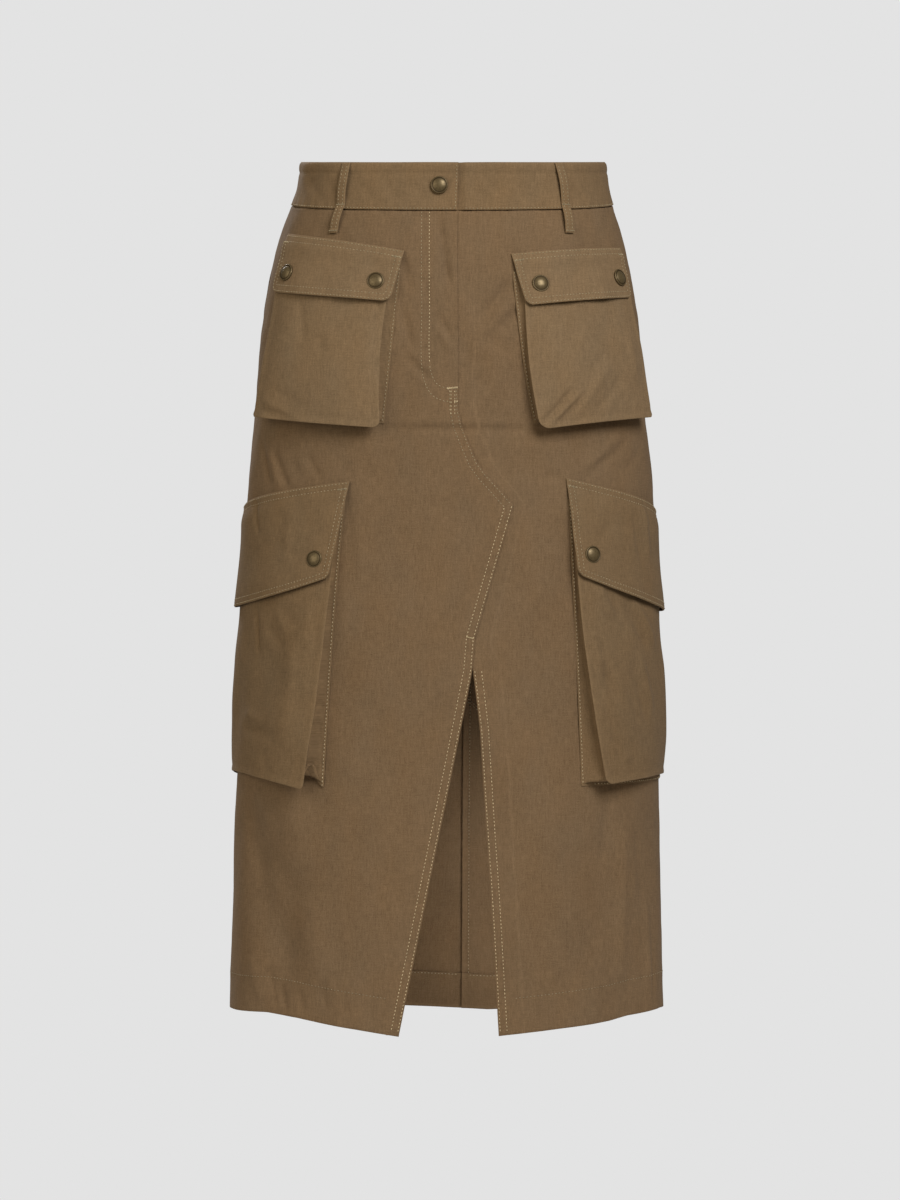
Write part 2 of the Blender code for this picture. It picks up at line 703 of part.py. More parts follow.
def pocket_face(name, pocket):
    columns, rows = pocket["face_cells"]
    inner_bow, bottom_bow, outer_bow = pocket["face_bow"]
    inner_top, inner_bottom, outer_bottom, outer_top = pocket["face"]
    grid = patch(bowed(inner_top, inner_bottom, rows, across_bow=inner_bow),
                 bowed(outer_top, outer_bottom, rows, across_bow=outer_bow),
                 bowed(inner_top, outer_top, columns),
                 bowed(inner_bottom, outer_bottom, columns, height_bow=bottom_bow))
    for j, step in ((0, 1), (-1, -1)):
        grid[-1, j] += (grid[-2, j + step] - grid[-1, j]) * FACE_CORNER_PULL
    across = grid[..., 0]
    height = grid[..., 1]
    out = stand_off(pocket, across, height)
    return wall_on_surface(name, across, height, out + POCKET_WALL, POCKET_WALL,
                           material("twill_" + name, TWILL_LIGHT))


def inward_steps(outline, middle_height):
    """Unit steps, mitred at corners, from an open outline towards its inside."""
    scale = float(quarter_length(middle_height))
    points = outline * np.array((scale, 1.0))
    along = np.diff(points, axis=0)
    along = along / np.linalg.norm(along, axis=1)[:, None]
    normals = np.stack((-along[:, 1], along[:, 0]), axis=1)
    before = np.vstack((normals[:1], normals))
    after = np.vstack((normals, normals[-1:]))
    middle = before + after
    middle = middle / np.sum(middle * before, axis=1)[:, None]
    centre = points.mean(axis=0)
    if np.sum(middle[len(points) // 2] * (centre - points[len(points) // 2])) < 0:
        middle = -middle
    return middle / np.array((scale, 1.0))


def pocket_gusset(name, pocket):
    """The bellows strip round a pocket's inner, bottom and outer edges."""
    inner_count, bottom_count, outer_count = pocket["gusset_cells"]
    outlines = []
    for key in ("base", "face"):
        inner_top, inner_bottom, outer_bottom, outer_top = pocket[key]
        inner_bow, bottom_bow, outer_bow = pocket[key + "_bow"]
        inner = bowed(inner_top, inner_bottom, inner_count, across_bow=inner_bow)
        bottom = bowed(inner_bottom, outer_bottom, bottom_count, height_bow=bottom_bow)
        outer = bowed(outer_bottom, outer_top, outer_count, across_bow=outer_bow)
        outlines.append(np.vstack((inner, bottom[1:], outer[1:])))
    base, rim = outlines
    middle_height = float(base[:, 1].mean())
    base_in = inward_steps(base, middle_height)
    rim_in = inward_steps(rim, middle_height)
    rim = rim + rim_in * RIM_INSET
    depth = stand_off(pocket, rim[:, 0], rim[:, 1]) - SEAT
    fold = (GUSSET_FOLD * depth)[:, None]
    lines = []
    for thick in (0.0, GUSSET_WALL):
        low = base + base_in * thick
        middle = (base + rim) / 2 + (base_in + rim_in) / 2 * (fold + thick)
        high = rim + rim_in * thick
        high_out = stand_off(pocket, high[:, 0], high[:, 1]) - GAP
        middle_out = (high_out + SEAT) / 2
        lines.append(np.stack((place(low[:, 0], low[:, 1], SEAT),
                               place(middle[:, 0], middle[:, 1], middle_out),
                               place(high[:, 0], high[:, 1], high_out)), axis=1))
    return cloth_wall(name, lines[0], lines[1], material("twill_" + name, TWILL_DEEP))


def curve_through(points, count):
    """Places on the parabola through three places, evenly spread across."""
    across = np.linspace(points[0][0], points[2][0], count + 1)
    bend = np.polyfit([p[0] for p in points], [p[1] for p in points], 2)
    return np.stack((across, np.polyval(bend, across)), axis=1)


def flap_outer(pocket, across, height):
    """Outer face of a flap above the skirt surface."""
    top = np.polyval(np.polyfit(*zip(*pocket["flap_top"]), 2), across)
    bottom = np.polyval(np.polyfit(*zip(*pocket["flap_bottom"]), 2), across)
    down = (top - height) / (top - bottom)
    lift = ease(down / FLAP_RISE)
    over_face = stand_off(pocket, across, height) + POCKET_WALL + SEAT
    under = SEAT + (over_face - SEAT) * lift
    return under + FLAP_WALL


def pocket_flap(name, pocket):
    columns, rows = pocket["flap_cells"]
    top = curve_through(pocket["flap_top"], columns)
    bottom = curve_through(pocket["flap_bottom"], columns)
    share = np.linspace(0.0, 1.0, rows + 1)[:, None, None]
    grid = top[None] + (bottom - top)[None] * share
    across = grid[..., 0]
    height = grid[..., 1]
    return wall_on_surface(name, across, height, flap_outer(pocket, across, height),
                           FLAP_WALL, material("twill_" + name, TWILL_LIGHT))


def pockets():
    for key, pocket in POCKETS.items():
        level, side = key.split("_")
        pocket_face(level + "_pocket_face_" + side, pocket)
        pocket_gusset(level + "_pocket_gusset_" + side, pocket)
        pocket_flap(level + "_pocket_flap_" + side, pocket)


# ================================================================ snaps

def carrier_outer(carrier, across, height):
    """Outer face of the piece that a snap sits on, above the skirt surface."""
    if carrier == "waistband":
        return np.full(np.shape(across), BAND_PROUD)
    return flap_outer(POCKETS[carrier], across, height)


def snap_frame(girth, height, carrier):
    """Seat and facing of a snap: a matrix whose Z points off the cloth."""
    across = float(across_from_girth(girth, height))
    wide = SNAP_REACH / float(quarter_length(height))

    def point(a, h):
        a = np.asarray(a)
        return place(a, h, carrier_outer(carrier, a, np.asarray(h)))

    seat = Vector(point(across, height))
    right = Vector(point(across + wide, height) - point(across - wide, height))
    up = Vector(point(across, height + SNAP_REACH) - point(across, height - SNAP_REACH))
    facing = right.cross(up).normalized()
    right.normalize()
    up = facing.cross(right)
    frame = Matrix((right, up, facing)).transposed().to_4x4()
    frame.translation = seat + facing * SNAP_SEAT
    return frame


def snap_mesh():
    """Turned cap: rounded ring edge, shallow groove and domed face."""
    mesh = bmesh.new()
    rings = []
    for radius, rise in SNAP_PROFILE:
        ring = []
        for k in range(SNAP_SEGMENTS):
            angle = 2 * math.pi * k / SNAP_SEGMENTS
            ring.append(mesh.verts.new((radius * math.cos(angle),
                                        radius * math.sin(angle), rise)))
        rings.append(ring)
    for low, high in zip(rings[:-1], rings[1:]):
        for k in range(SNAP_SEGMENTS):
            n = (k + 1) % SNAP_SEGMENTS
            mesh.faces.new((low[k], low[n], high[n], high[k]))
    mesh.faces.new(list(reversed(rings[0])))
    crown = mesh.verts.new((0.0, 0.0, SNAP_CROWN))
    for k in range(SNAP_SEGMENTS):
        mesh.faces.new((rings[-1][k], rings[-1][(k + 1) % SNAP_SEGMENTS], crown))
    return mesh


def snaps():
    for name, girth, height, carrier in SNAPS:
        cap = add_object(name, snap_mesh(), material("brass_" + name, ANTIQUE_BRASS,
                                                     BRASS_ROUGHNESS, BRASS_METALLIC))
        cap.matrix_world = snap_frame(girth, height, carrier)


# ================================================================ build

def clear_scene():
    for thing in list(bpy.data.objects):
        bpy.data.objects.remove(thing, do_unlink=True)


def main():
    clear_scene()
    front_right()
    front_left()
    back_panels()
    waistband()
    belt_loops()
    pockets()
    snaps()


main()
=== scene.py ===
"""Cargo utility skirt: the finished cloth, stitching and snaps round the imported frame.

Metres, +Z up, front towards -Y, the wearer's right at -X. A place on the skirt
has two numbers: "across" counts quarters of the girth from the centre front
(0 = centre front, 1 = side seam, 2 = centre back, negative on the wearer's
right) and "height" is Z. "girth" is the same distance in metres along the
cloth, and "out" moves a place off the surface towards the outside.
"""

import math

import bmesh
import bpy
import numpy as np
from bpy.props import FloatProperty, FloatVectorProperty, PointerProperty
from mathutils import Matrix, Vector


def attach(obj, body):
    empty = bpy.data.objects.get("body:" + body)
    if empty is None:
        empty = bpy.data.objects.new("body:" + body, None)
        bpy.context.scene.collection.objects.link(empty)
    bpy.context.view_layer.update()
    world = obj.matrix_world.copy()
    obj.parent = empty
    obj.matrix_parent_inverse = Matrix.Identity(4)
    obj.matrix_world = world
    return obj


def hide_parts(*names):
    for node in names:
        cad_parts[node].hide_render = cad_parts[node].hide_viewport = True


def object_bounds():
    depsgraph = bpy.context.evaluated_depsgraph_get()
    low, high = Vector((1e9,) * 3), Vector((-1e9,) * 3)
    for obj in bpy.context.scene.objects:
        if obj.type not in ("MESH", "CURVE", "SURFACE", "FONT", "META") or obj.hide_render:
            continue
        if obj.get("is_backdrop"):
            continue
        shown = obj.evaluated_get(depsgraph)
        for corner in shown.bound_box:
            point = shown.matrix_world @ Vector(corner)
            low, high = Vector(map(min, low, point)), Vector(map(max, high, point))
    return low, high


bl_info = {
    "name": "Cargo Utility Skirt",
    "version": (1, 0, 0),
    "blender": (4, 5, 0),
    "location": "3D View > Sidebar > Skirt",
    "description": "Cuts, sews and trims a cargo utility skirt round its frame",
    "category": "Object",
}

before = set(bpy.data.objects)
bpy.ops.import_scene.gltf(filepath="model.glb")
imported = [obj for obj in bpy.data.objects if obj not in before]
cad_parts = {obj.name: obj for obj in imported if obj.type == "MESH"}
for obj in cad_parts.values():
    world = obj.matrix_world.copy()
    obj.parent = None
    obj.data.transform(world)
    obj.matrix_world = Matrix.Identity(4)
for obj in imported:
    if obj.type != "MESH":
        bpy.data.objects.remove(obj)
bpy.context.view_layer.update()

BODY = "root"

# -------- the form

# Sections of the skirt's outer face, from the waist to below the hem.
SECTION_COLUMNS = ("height", "half_width", "centre", "front_depth", "back_depth")
SECTIONS = (
    (0.04, 0.134, 0.0002, 0.0985, 0.0985),
    (0.026, 0.1354, 0.0001, 0.0994, 0.0994),
    (0.001, 0.1386, 0.0, 0.1006, 0.1008),
    (-0.013, 0.1428, -0.0007, 0.1012, 0.103),
    (-0.04, 0.1518, -0.0015, 0.105, 0.111),
    (-0.083, 0.1621, -0.0023, 0.109, 0.119),
    (-0.126, 0.1682, -0.0023, 0.112, 0.125),
    (-0.19, 0.173, -0.0027, 0.115, 0.13),
    (-0.265, 0.1803, -0.0025, 0.117, 0.131),
    (-0.35, 0.1828, -0.0033, 0.1185, 0.1295),
    (-0.454, 0.1855, -0.004, 0.12, 0.1275),
    (-0.56, 0.1891, -0.0052, 0.121, 0.126),
    (-0.66, 0.1912, -0.0057, 0.122, 0.125),
    (-0.75, 0.1942, -0.0063, 0.1225, 0.124),
)
SECTION_POWER = 2.3  # 2 is an ellipse, more is squarer
FOLD_GROWTH = 0.45  # share of its length over which a fold deepens
QUARTER_STEPS = 300  # samples along a quarter of the girth
LEVEL_STEPS = 260  # samples down the skirt
MID_HEIGHT = -0.3  # widths along a seam are turned to quarters here
FACING_STEP = 0.001  # the way off the cloth is taken over this rise

# Soft folds of the body cloth. Depth is negative in a trough.
FOLDS = (
    # across_top, height_top, across_bottom, height_bottom, half_width, depth
    (-0.5, -0.545, -0.6, -0.76, 0.022, -0.004),
    (-0.72, -0.545, -0.78, -0.76, 0.02, 0.0025),
    (-0.3, -0.42, -0.33, -0.76, 0.03, 0.002),
    (0.6, -0.545, 0.64, -0.76, 0.024, -0.0032),
    (0.82, -0.545, 0.84, -0.76, 0.02, 0.0022),
    (0.34, -0.45, 0.38, -0.76, 0.028, 0.0018),
    (1.36, -0.23, 1.4, -0.76, 0.028, -0.0036),
    (1.62, -0.3, 1.66, -0.76, 0.03, 0.003),
    (-1.34, -0.25, -1.42, -0.76, 0.028, -0.0034),
    (-1.66, -0.26, -1.62, -0.76, 0.03, 0.0028),
    (-1.84, -0.33, -1.86, -0.76, 0.022, -0.0022),
)

WAIST_SIDE_HEIGHT = 0.0261  # top edge of the waistband at the side seams
WAIST_FRONT_SLOPE = 0.1185  # fall of that edge for each metre forward
WAIST_BACK_SLOPE = 0.055  # rise of that edge for each metre back
BAND_SIDE_HEIGHT = -0.012  # seam under the waistband at the side seams
BAND_FRONT_SLOPE = 0.152
BAND_BACK_SLOPE = 0.055

# The hem rises at the side seams.
HEM = (
    # across, height
    (-2.0, -0.742),
    (-1.85, -0.74),
    (-1.6, -0.737),
    (-1.25, -0.73),
    (-1.0, -0.7272),
    (-0.87, -0.7257),
    (-0.65, -0.7243),
    (-0.52, -0.7272),
    (-0.3, -0.7352),
    (-0.16, -0.7408),
    (0.18, -0.7402),
    (0.4, -0.7345),
    (0.58, -0.7307),
    (0.66, -0.7275),
    (0.84, -0.7243),
    (1.0, -0.7262),
    (1.25, -0.732),
    (1.6, -0.741),
    (1.85, -0.744),
    (2.0, -0.742),
)

# Free edge of the right front: fly, crotch curve, corner, tack, slit, hem.
RIGHT_FRONT_EDGE = (
    # height, girth
    (0.03, 0.0045),
    (-0.029, 0.005),
    (-0.106, 0.0063),
    (-0.177, 0.0068),
    (-0.201, 0.0073),
    (-0.214, 0.0102),
    (-0.23, 0.0162),
    (-0.246, 0.0231),
    (-0.2565, 0.0308),
    (-0.2677, 0.0412),
    (-0.2832, 0.055),
    (-0.3986, 0.0224),
    (-0.4261, 0.0203),
    (-0.537, -0.0006),
    (-0.76, -0.0445),
)
LEFT_SLIT_EDGE = (
    # height, girth
    (-0.4261, 0.0209),
    (-0.476, 0.0272),
    (-0.6058, 0.0369),
    (-0.76, 0.0468),
)
SLIT_TOP = -0.4261  # apex of the open slit
TACK_HEIGHT = -0.3986  # bar tack where the lap ends
LAP = 0.01  # hidden width of the left front under the right
BAND_LAP = 0.032  # hidden width of the band's left end
CENTRE_BACK_SEAM = 1.915  # across of the right back's free edge
CENTRE_BACK_LAP = 0.0077  # hidden width of the left back under it
RIGHT_CORNER = -0.16  # across of the slit's lower corners
LEFT_CORNER = 0.18

# -------- cloth

GAP = 0.0003  # between pieces that meet at a seam
SEAT = 0.0005  # between a curved piece and what it lies on
CLOTH = 0.0007  # one ply of the twill
BAND_CLOTH = 0.002  # the waistband's plies
FLAP_CLOTH = 0.0013  # two plies, pressed
LOOP_CLOTH = 0.0012
BAND_PROUD = 0.0006  # band's outer face beyond the body's
FACE_RISE = 0.0012  # outer face of a pocket above its stand-off
FLAP_RISE_OUT = 0.0015  # outer face of a flap above its underside
RUMPLE = 0.34  # short waves against the long ones
TURN_UP = 0.031  # hem allowance folded to the inside
SLIT_FACING = 0.0105  # allowance folded in along the slit
RIM_RINGS = 3  # rounds of points over a cut or folded edge

# -------- sewing

EDGE_ROW = 0.0015  # a row of stitches this far from an edge
SECOND_ROW = 0.0074  # and the row beside it
BACK_SECOND_ROW = 0.006  # the same at the centre back
FLAP_ROW = 0.0058  # border row of the flaps
CHANNEL_DEPTH = 0.00022  # a row of stitches sinks the cloth
CHANNEL_WIDTH = 0.001
PUCKER_DEPTH = 0.0003  # and gathers it a little
PUCKER_REACH = 0.0042
PUCKER_WAVE = 0.0088
PUCKER_DRIFT = 0.037

# Fly stitching, from the band's seam down and round to the fly's edge.
FLY_OUTER_ROW = (
    # girth, height
    (-0.026, -0.0285),
    (-0.0248, -0.1061),
    (-0.0246, -0.1624),
    (-0.0225, -0.1754),
    (-0.0155, -0.1883),
    (-0.0052, -0.1935),
    (0.0017, -0.1935),
)
FLY_INNER_ROW = (
    # girth, height
    (-0.0192, -0.0286),
    (-0.0181, -0.1061),
    (-0.0179, -0.1581),
    (-0.0165, -0.1685),
    (-0.0112, -0.1789),
    (-0.0035, -0.1823),
    (0.0017, -0.1827),
)
LAP_ROW_TOP = -0.1835  # the rows along the lap start here
RIGHT_HEM = (-0.99, -0.2)  # across where the hem rows start and end
LEFT_HEM = (0.23, 0.99)
BACK_RIGHT_HEM = (-2.07, -1.01)
BACK_LEFT_HEM = (1.01, 1.93)
INNER_RIGHT_HEM = (-2.04, -1.01)

VENT_ROW = (1.9399, -0.4531, 1.8882, -0.4642)  # across and height, rows behind the slit

# -------- belt loops

LOOP_WIDTH = 0.0084
LOOP_LENGTH = 0.062
LOOP_DROP = 0.0006  # its top below the band's top edge
LOOP_SEAM_SHARE = 0.6  # share down the strip where it crosses the band's seam
FRONT_LOOPS = (
    # name, girth_top, girth_seam, girth_end
    ("belt_loop_front_right", -0.0957, -0.0989, -0.1049),
    ("belt_loop_front_left", 0.0943, 0.1015, 0.1054),
)
BACK_LOOPS = (
    # name, across
    ("belt_loop_back_right", -1.42),
    ("belt_loop_back_left", 1.42),
    ("belt_loop_centre_back", 2.0),
)
# Underside of the strip above the skirt surface, down the loop.
LOOP_PROFILE = (
    # down, out
    (0.0, 0.0011),
    (0.1, 0.0024),
    (0.22, 0.0035),
    (0.36, 0.0036),
    (0.5, 0.0024),
    (0.6, 0.0012),
    (0.7, 0.0026),
    (0.8, 0.0032),
    (0.91, 0.0022),
    (1.0, 0.0006),
)

# -------- pockets

# Corners are (across, height): inner top, inner bottom, outer bottom, outer
# top. Bows are in quarters for the inner and outer edges and in metres for
# the bottom edge. Creases are (across, height, across, height, half width,
# depth) on the face. Waves are (share along, half width, rise) at the flap's
# lower edge.
POCKETS = {
    "upper_right": {
        "base": ((-0.194, -0.078), (-0.241, -0.213), (-0.748, -0.203), (-0.738, -0.064)),
        "notch": 0.0,
        "base_bow": (0.0, 0.0, 0.0),
        "face": ((-0.222, -0.078), (-0.244, -0.2172), (-0.753, -0.2045), (-0.733, -0.064)),
        "face_bow": (-0.022, -0.001, 0.008),
        "flap_top": ((-0.185, -0.063), (-0.46, -0.0525), (-0.775, -0.0425)),
        "flap_bottom": ((-0.226, -0.1078), (-0.48, -0.102), (-0.742, -0.095)),
        "stand": {"mouth": 0.0014, "inner": 0.0135, "side": 0.013, "outer": 0.0145,
                  "puff": 0.003, "side_at": 0.6, "side_lag": 0.80},
        "face_round": (0.007, 0.003),
        "flap_round": (0.007, 0.006),
        "corner_fold": 0.4,
        "creases": (
            (-0.262, -0.112, -0.268, -0.205, 0.0045, -0.0006),
            (-0.3, -0.118, -0.33, -0.19, 0.013, 0.0005),
            (-0.52, -0.105, -0.56, -0.195, 0.016, -0.0003),
            (-0.261, -0.158, -0.242, -0.186, 0.0026, -0.0014),
            (-0.275, -0.146, -0.24, -0.138, 0.002, -0.0006),
            (-0.701, -0.19, -0.537, -0.208, 0.003, 0.0004),
            (-0.73, -0.195, -0.6, -0.21, 0.003, -0.0003),
            (-0.676, -0.18, -0.492, -0.201, 0.004, -0.0002),
            (-0.59, -0.104, -0.554, -0.14, 0.004, -0.0004),
            (-0.491, -0.136, -0.468, -0.151, 0.004, -0.0005),
        ),
        "flap_creases": (),
        "waves": ((0.3, 0.13, 0.002), (0.74, 0.1, 0.001)),
    },
    "upper_left": {
        "base": ((0.244, -0.081), (0.308, -0.213), (0.78, -0.202), (0.77, -0.07)),
        "notch": 0.0,
        "base_bow": (-0.01, 0.0, 0.0),
        "face": ((0.286, -0.081), (0.316, -0.2185), (0.786, -0.2045), (0.768, -0.07)),
        "face_bow": (-0.0175, 0.0008, 0.0),
        "flap_top": ((0.241, -0.0655), (0.503, -0.0598), (0.795, -0.0545)),
        "flap_bottom": ((0.284, -0.1112), (0.5375, -0.1046), (0.758, -0.0995)),
        "stand": {"mouth": 0.0014, "inner": 0.0135, "side": 0.013, "outer": 0.0145,
                  "puff": 0.003, "side_at": 0.6, "side_lag": 0.80},
        "face_round": (0.0085, 0.003),
        "flap_round": (0.007, 0.006),
        "corner_fold": 0.4,
        "creases": (
            (0.336, -0.211, 0.439, -0.183, 0.0024, -0.001),
            (0.35, -0.214, 0.476, -0.184, 0.0026, 0.0009),
            (0.371, -0.214, 0.503, -0.182, 0.0024, -0.0009),
            (0.45, -0.203, 0.602, -0.157, 0.0045, 0.0009),
            (0.522, -0.204, 0.652, -0.167, 0.004, -0.0006),
            (0.335, -0.132, 0.349, -0.184, 0.005, -0.0004),
            (0.703, -0.129, 0.711, -0.173, 0.004, 0.0005),
            (0.6, -0.112, 0.56, -0.17, 0.015, -0.0006),
        ),
        "flap_creases": (),
        "waves": ((0.34, 0.07, 0.0016), (0.66, 0.09, 0.002)),
    },
    "lower_right": {
        "base": ((-0.376, -0.281), (-0.43, -0.527), (-1.17, -0.522), (-1.17, -0.306)),
        "notch": 0.014,
        "base_bow": (-0.008, 0.0, 0.0),
        "face": ((-0.398, -0.281), (-0.478, -0.5285), (-1.165, -0.523), (-1.165, -0.306)),
        "face_bow": (0.01, 0.0095, 0.0),
        "flap_top": ((-0.361, -0.2624), (-0.76, -0.274), (-1.19, -0.29)),
        "flap_bottom": ((-0.416, -0.3458), (-0.72, -0.3655), (-1.188, -0.369)),
        "stand": {"mouth": 0.0013, "inner": 0.0185, "side": 0.0026, "outer": 0.0044,
                  "puff": 0.002, "side_at": 0.66, "side_lag": 2.00},
        "face_round": (0.003, 0.004),
        "flap_round": (0.0045, 0.006),
        "corner_fold": 1.9,
        "creases": (
            (-0.505, -0.372, -0.56, -0.5, 0.011, 0.001),
            (-0.738, -0.371, -0.706, -0.413, 0.0026, -0.001),
            (-0.63, -0.375, -0.551, -0.397, 0.005, 0.0007),
            (-0.661, -0.387, -0.586, -0.408, 0.005, -0.0006),
            (-0.776, -0.476, -0.593, -0.483, 0.005, -0.0008),
            (-0.765, -0.463, -0.66, -0.471, 0.005, 0.0006),
            (-0.514, -0.4, -0.512, -0.469, 0.005, -0.0005),
            (-0.491, -0.365, -0.488, -0.408, 0.004, 0.0004),
            (-0.651, -0.495, -0.626, -0.514, 0.004, -0.0004),
            (-0.64, -0.4, -0.7, -0.46, 0.015, -0.0008),
            (-0.9, -0.39, -0.96, -0.51, 0.018, 0.001),
        ),
        "flap_creases": (
            (-0.783, -0.275, -0.741, -0.306, 0.0028, -0.0008),
            (-0.585, -0.287, -0.589, -0.33, 0.005, 0.0004),
            (-0.646, -0.313, -0.529, -0.33, 0.005, -0.0003),
            (-0.98, -0.29, -1.02, -0.35, 0.006, -0.0006),
        ),
        "waves": ((0.28, 0.12, 0.0014), (0.72, 0.12, 0.0012)),
    },
    "lower_left": {
        "base": ((0.424, -0.278), (0.468, -0.526), (1.17, -0.522), (1.17, -0.31)),
        "notch": 0.0,
        "base_bow": (0.004, 0.0, 0.0),
        "face": ((0.44, -0.278), (0.528, -0.5245), (1.165, -0.523), (1.165, -0.31)),
        "face_bow": (-0.022, 0.005, 0.0),
        "flap_top": ((0.419, -0.2594), (0.79, -0.277), (1.19, -0.294)),
        "flap_bottom": ((0.442, -0.3428), (0.79, -0.3686), (1.188, -0.374)),
        "stand": {"mouth": 0.0013, "inner": 0.019, "side": 0.0034, "outer": 0.004,
                  "puff": 0.0026, "side_at": 0.64, "side_lag": 2.00},
        "face_round": (0.006, 0.004),
        "flap_round": (0.006, 0.006),
        "corner_fold": -0.8,
        "creases": (
            (0.525, -0.356, 0.582, -0.379, 0.004, 0.0009),
            (0.546, -0.355, 0.618, -0.381, 0.004, -0.0007),
            (0.495, -0.388, 0.529, -0.427, 0.004, 0.0007),
            (0.529, -0.427, 0.58, -0.452, 0.004, -0.0008),
            (0.519, -0.4, 0.557, -0.443, 0.004, -0.0007),
            (0.685, -0.365, 0.813, -0.405, 0.0045, 0.0011),
            (0.651, -0.37, 0.752, -0.409, 0.0045, -0.001),
            (0.698, -0.414, 0.767, -0.461, 0.0045, 0.001),
            (0.653, -0.417, 0.727, -0.472, 0.0045, -0.0009),
            (0.495, -0.451, 0.557, -0.488, 0.0035, 0.0009),
            (0.557, -0.488, 0.627, -0.506, 0.0035, 0.0008),
            (0.522, -0.465, 0.588, -0.5, 0.0035, -0.0009),
            (0.593, -0.4, 0.679, -0.47, 0.006, -0.0006),
            (0.9, -0.4, 0.96, -0.51, 0.018, 0.001),
        ),
        "flap_creases": (
            (0.759, -0.282, 0.785, -0.33, 0.004, 0.0008),
            (0.701, -0.286, 0.728, -0.334, 0.004, -0.0006),
            (0.59, -0.296, 0.534, -0.313, 0.004, -0.0004),
            (0.98, -0.29, 1.01, -0.35, 0.006, -0.0006),
        ),
        "waves": ((0.3, 0.12, 0.0014), (0.74, 0.12, 0.0012)),
    },
}
FACE_WAVES = 0.00045  # height of the soft waves of a face
FACE_EDGE = (
    # from its edge, width, rise
    (0.0016, 0.0018, 0.00035),
    (0.0062, 0.0022, -0.0003),
)
FLAP_EDGE = (
    (FLAP_ROW, 0.0009, -CHANNEL_DEPTH),
    (0.0034, 0.002, 0.00018),
)
FLAP_TOP = (
    (FLAP_ROW, 0.0011, -0.00042),
    (0.003, 0.002, 0.0003),
)
FLAP_GATHERS = (0.0095, 1.6, 83.0)
FLAP_LIFT = 0.2  # share of the flap over which it lifts off the body
FLAP_KICK = 0.0022  # a flap's lower edge stands off the face, less at its outer end
GUSSET_FOLD = 0.34  # in-fold of the gusset, as a share of its depth
GUSSET_FLANGE = 0.003  # its edge, sewn flat on the body
CORNER_FOLD_REACH = 0.016  # the in-fold deepens this far round a lower corner
INNER_LAG = 0.75  # under 1, a pouch opens fast below its mouth
PUFF_LAG = 1.6  # over 1, a face bulges below its middle
FACE_OVERHANG = 1.1  # share down to which a pouch goes on opening
SNAP_DIMPLE = 0.0004  # a snap draws the flap in
SNAP_DIMPLE_REACH = 0.011

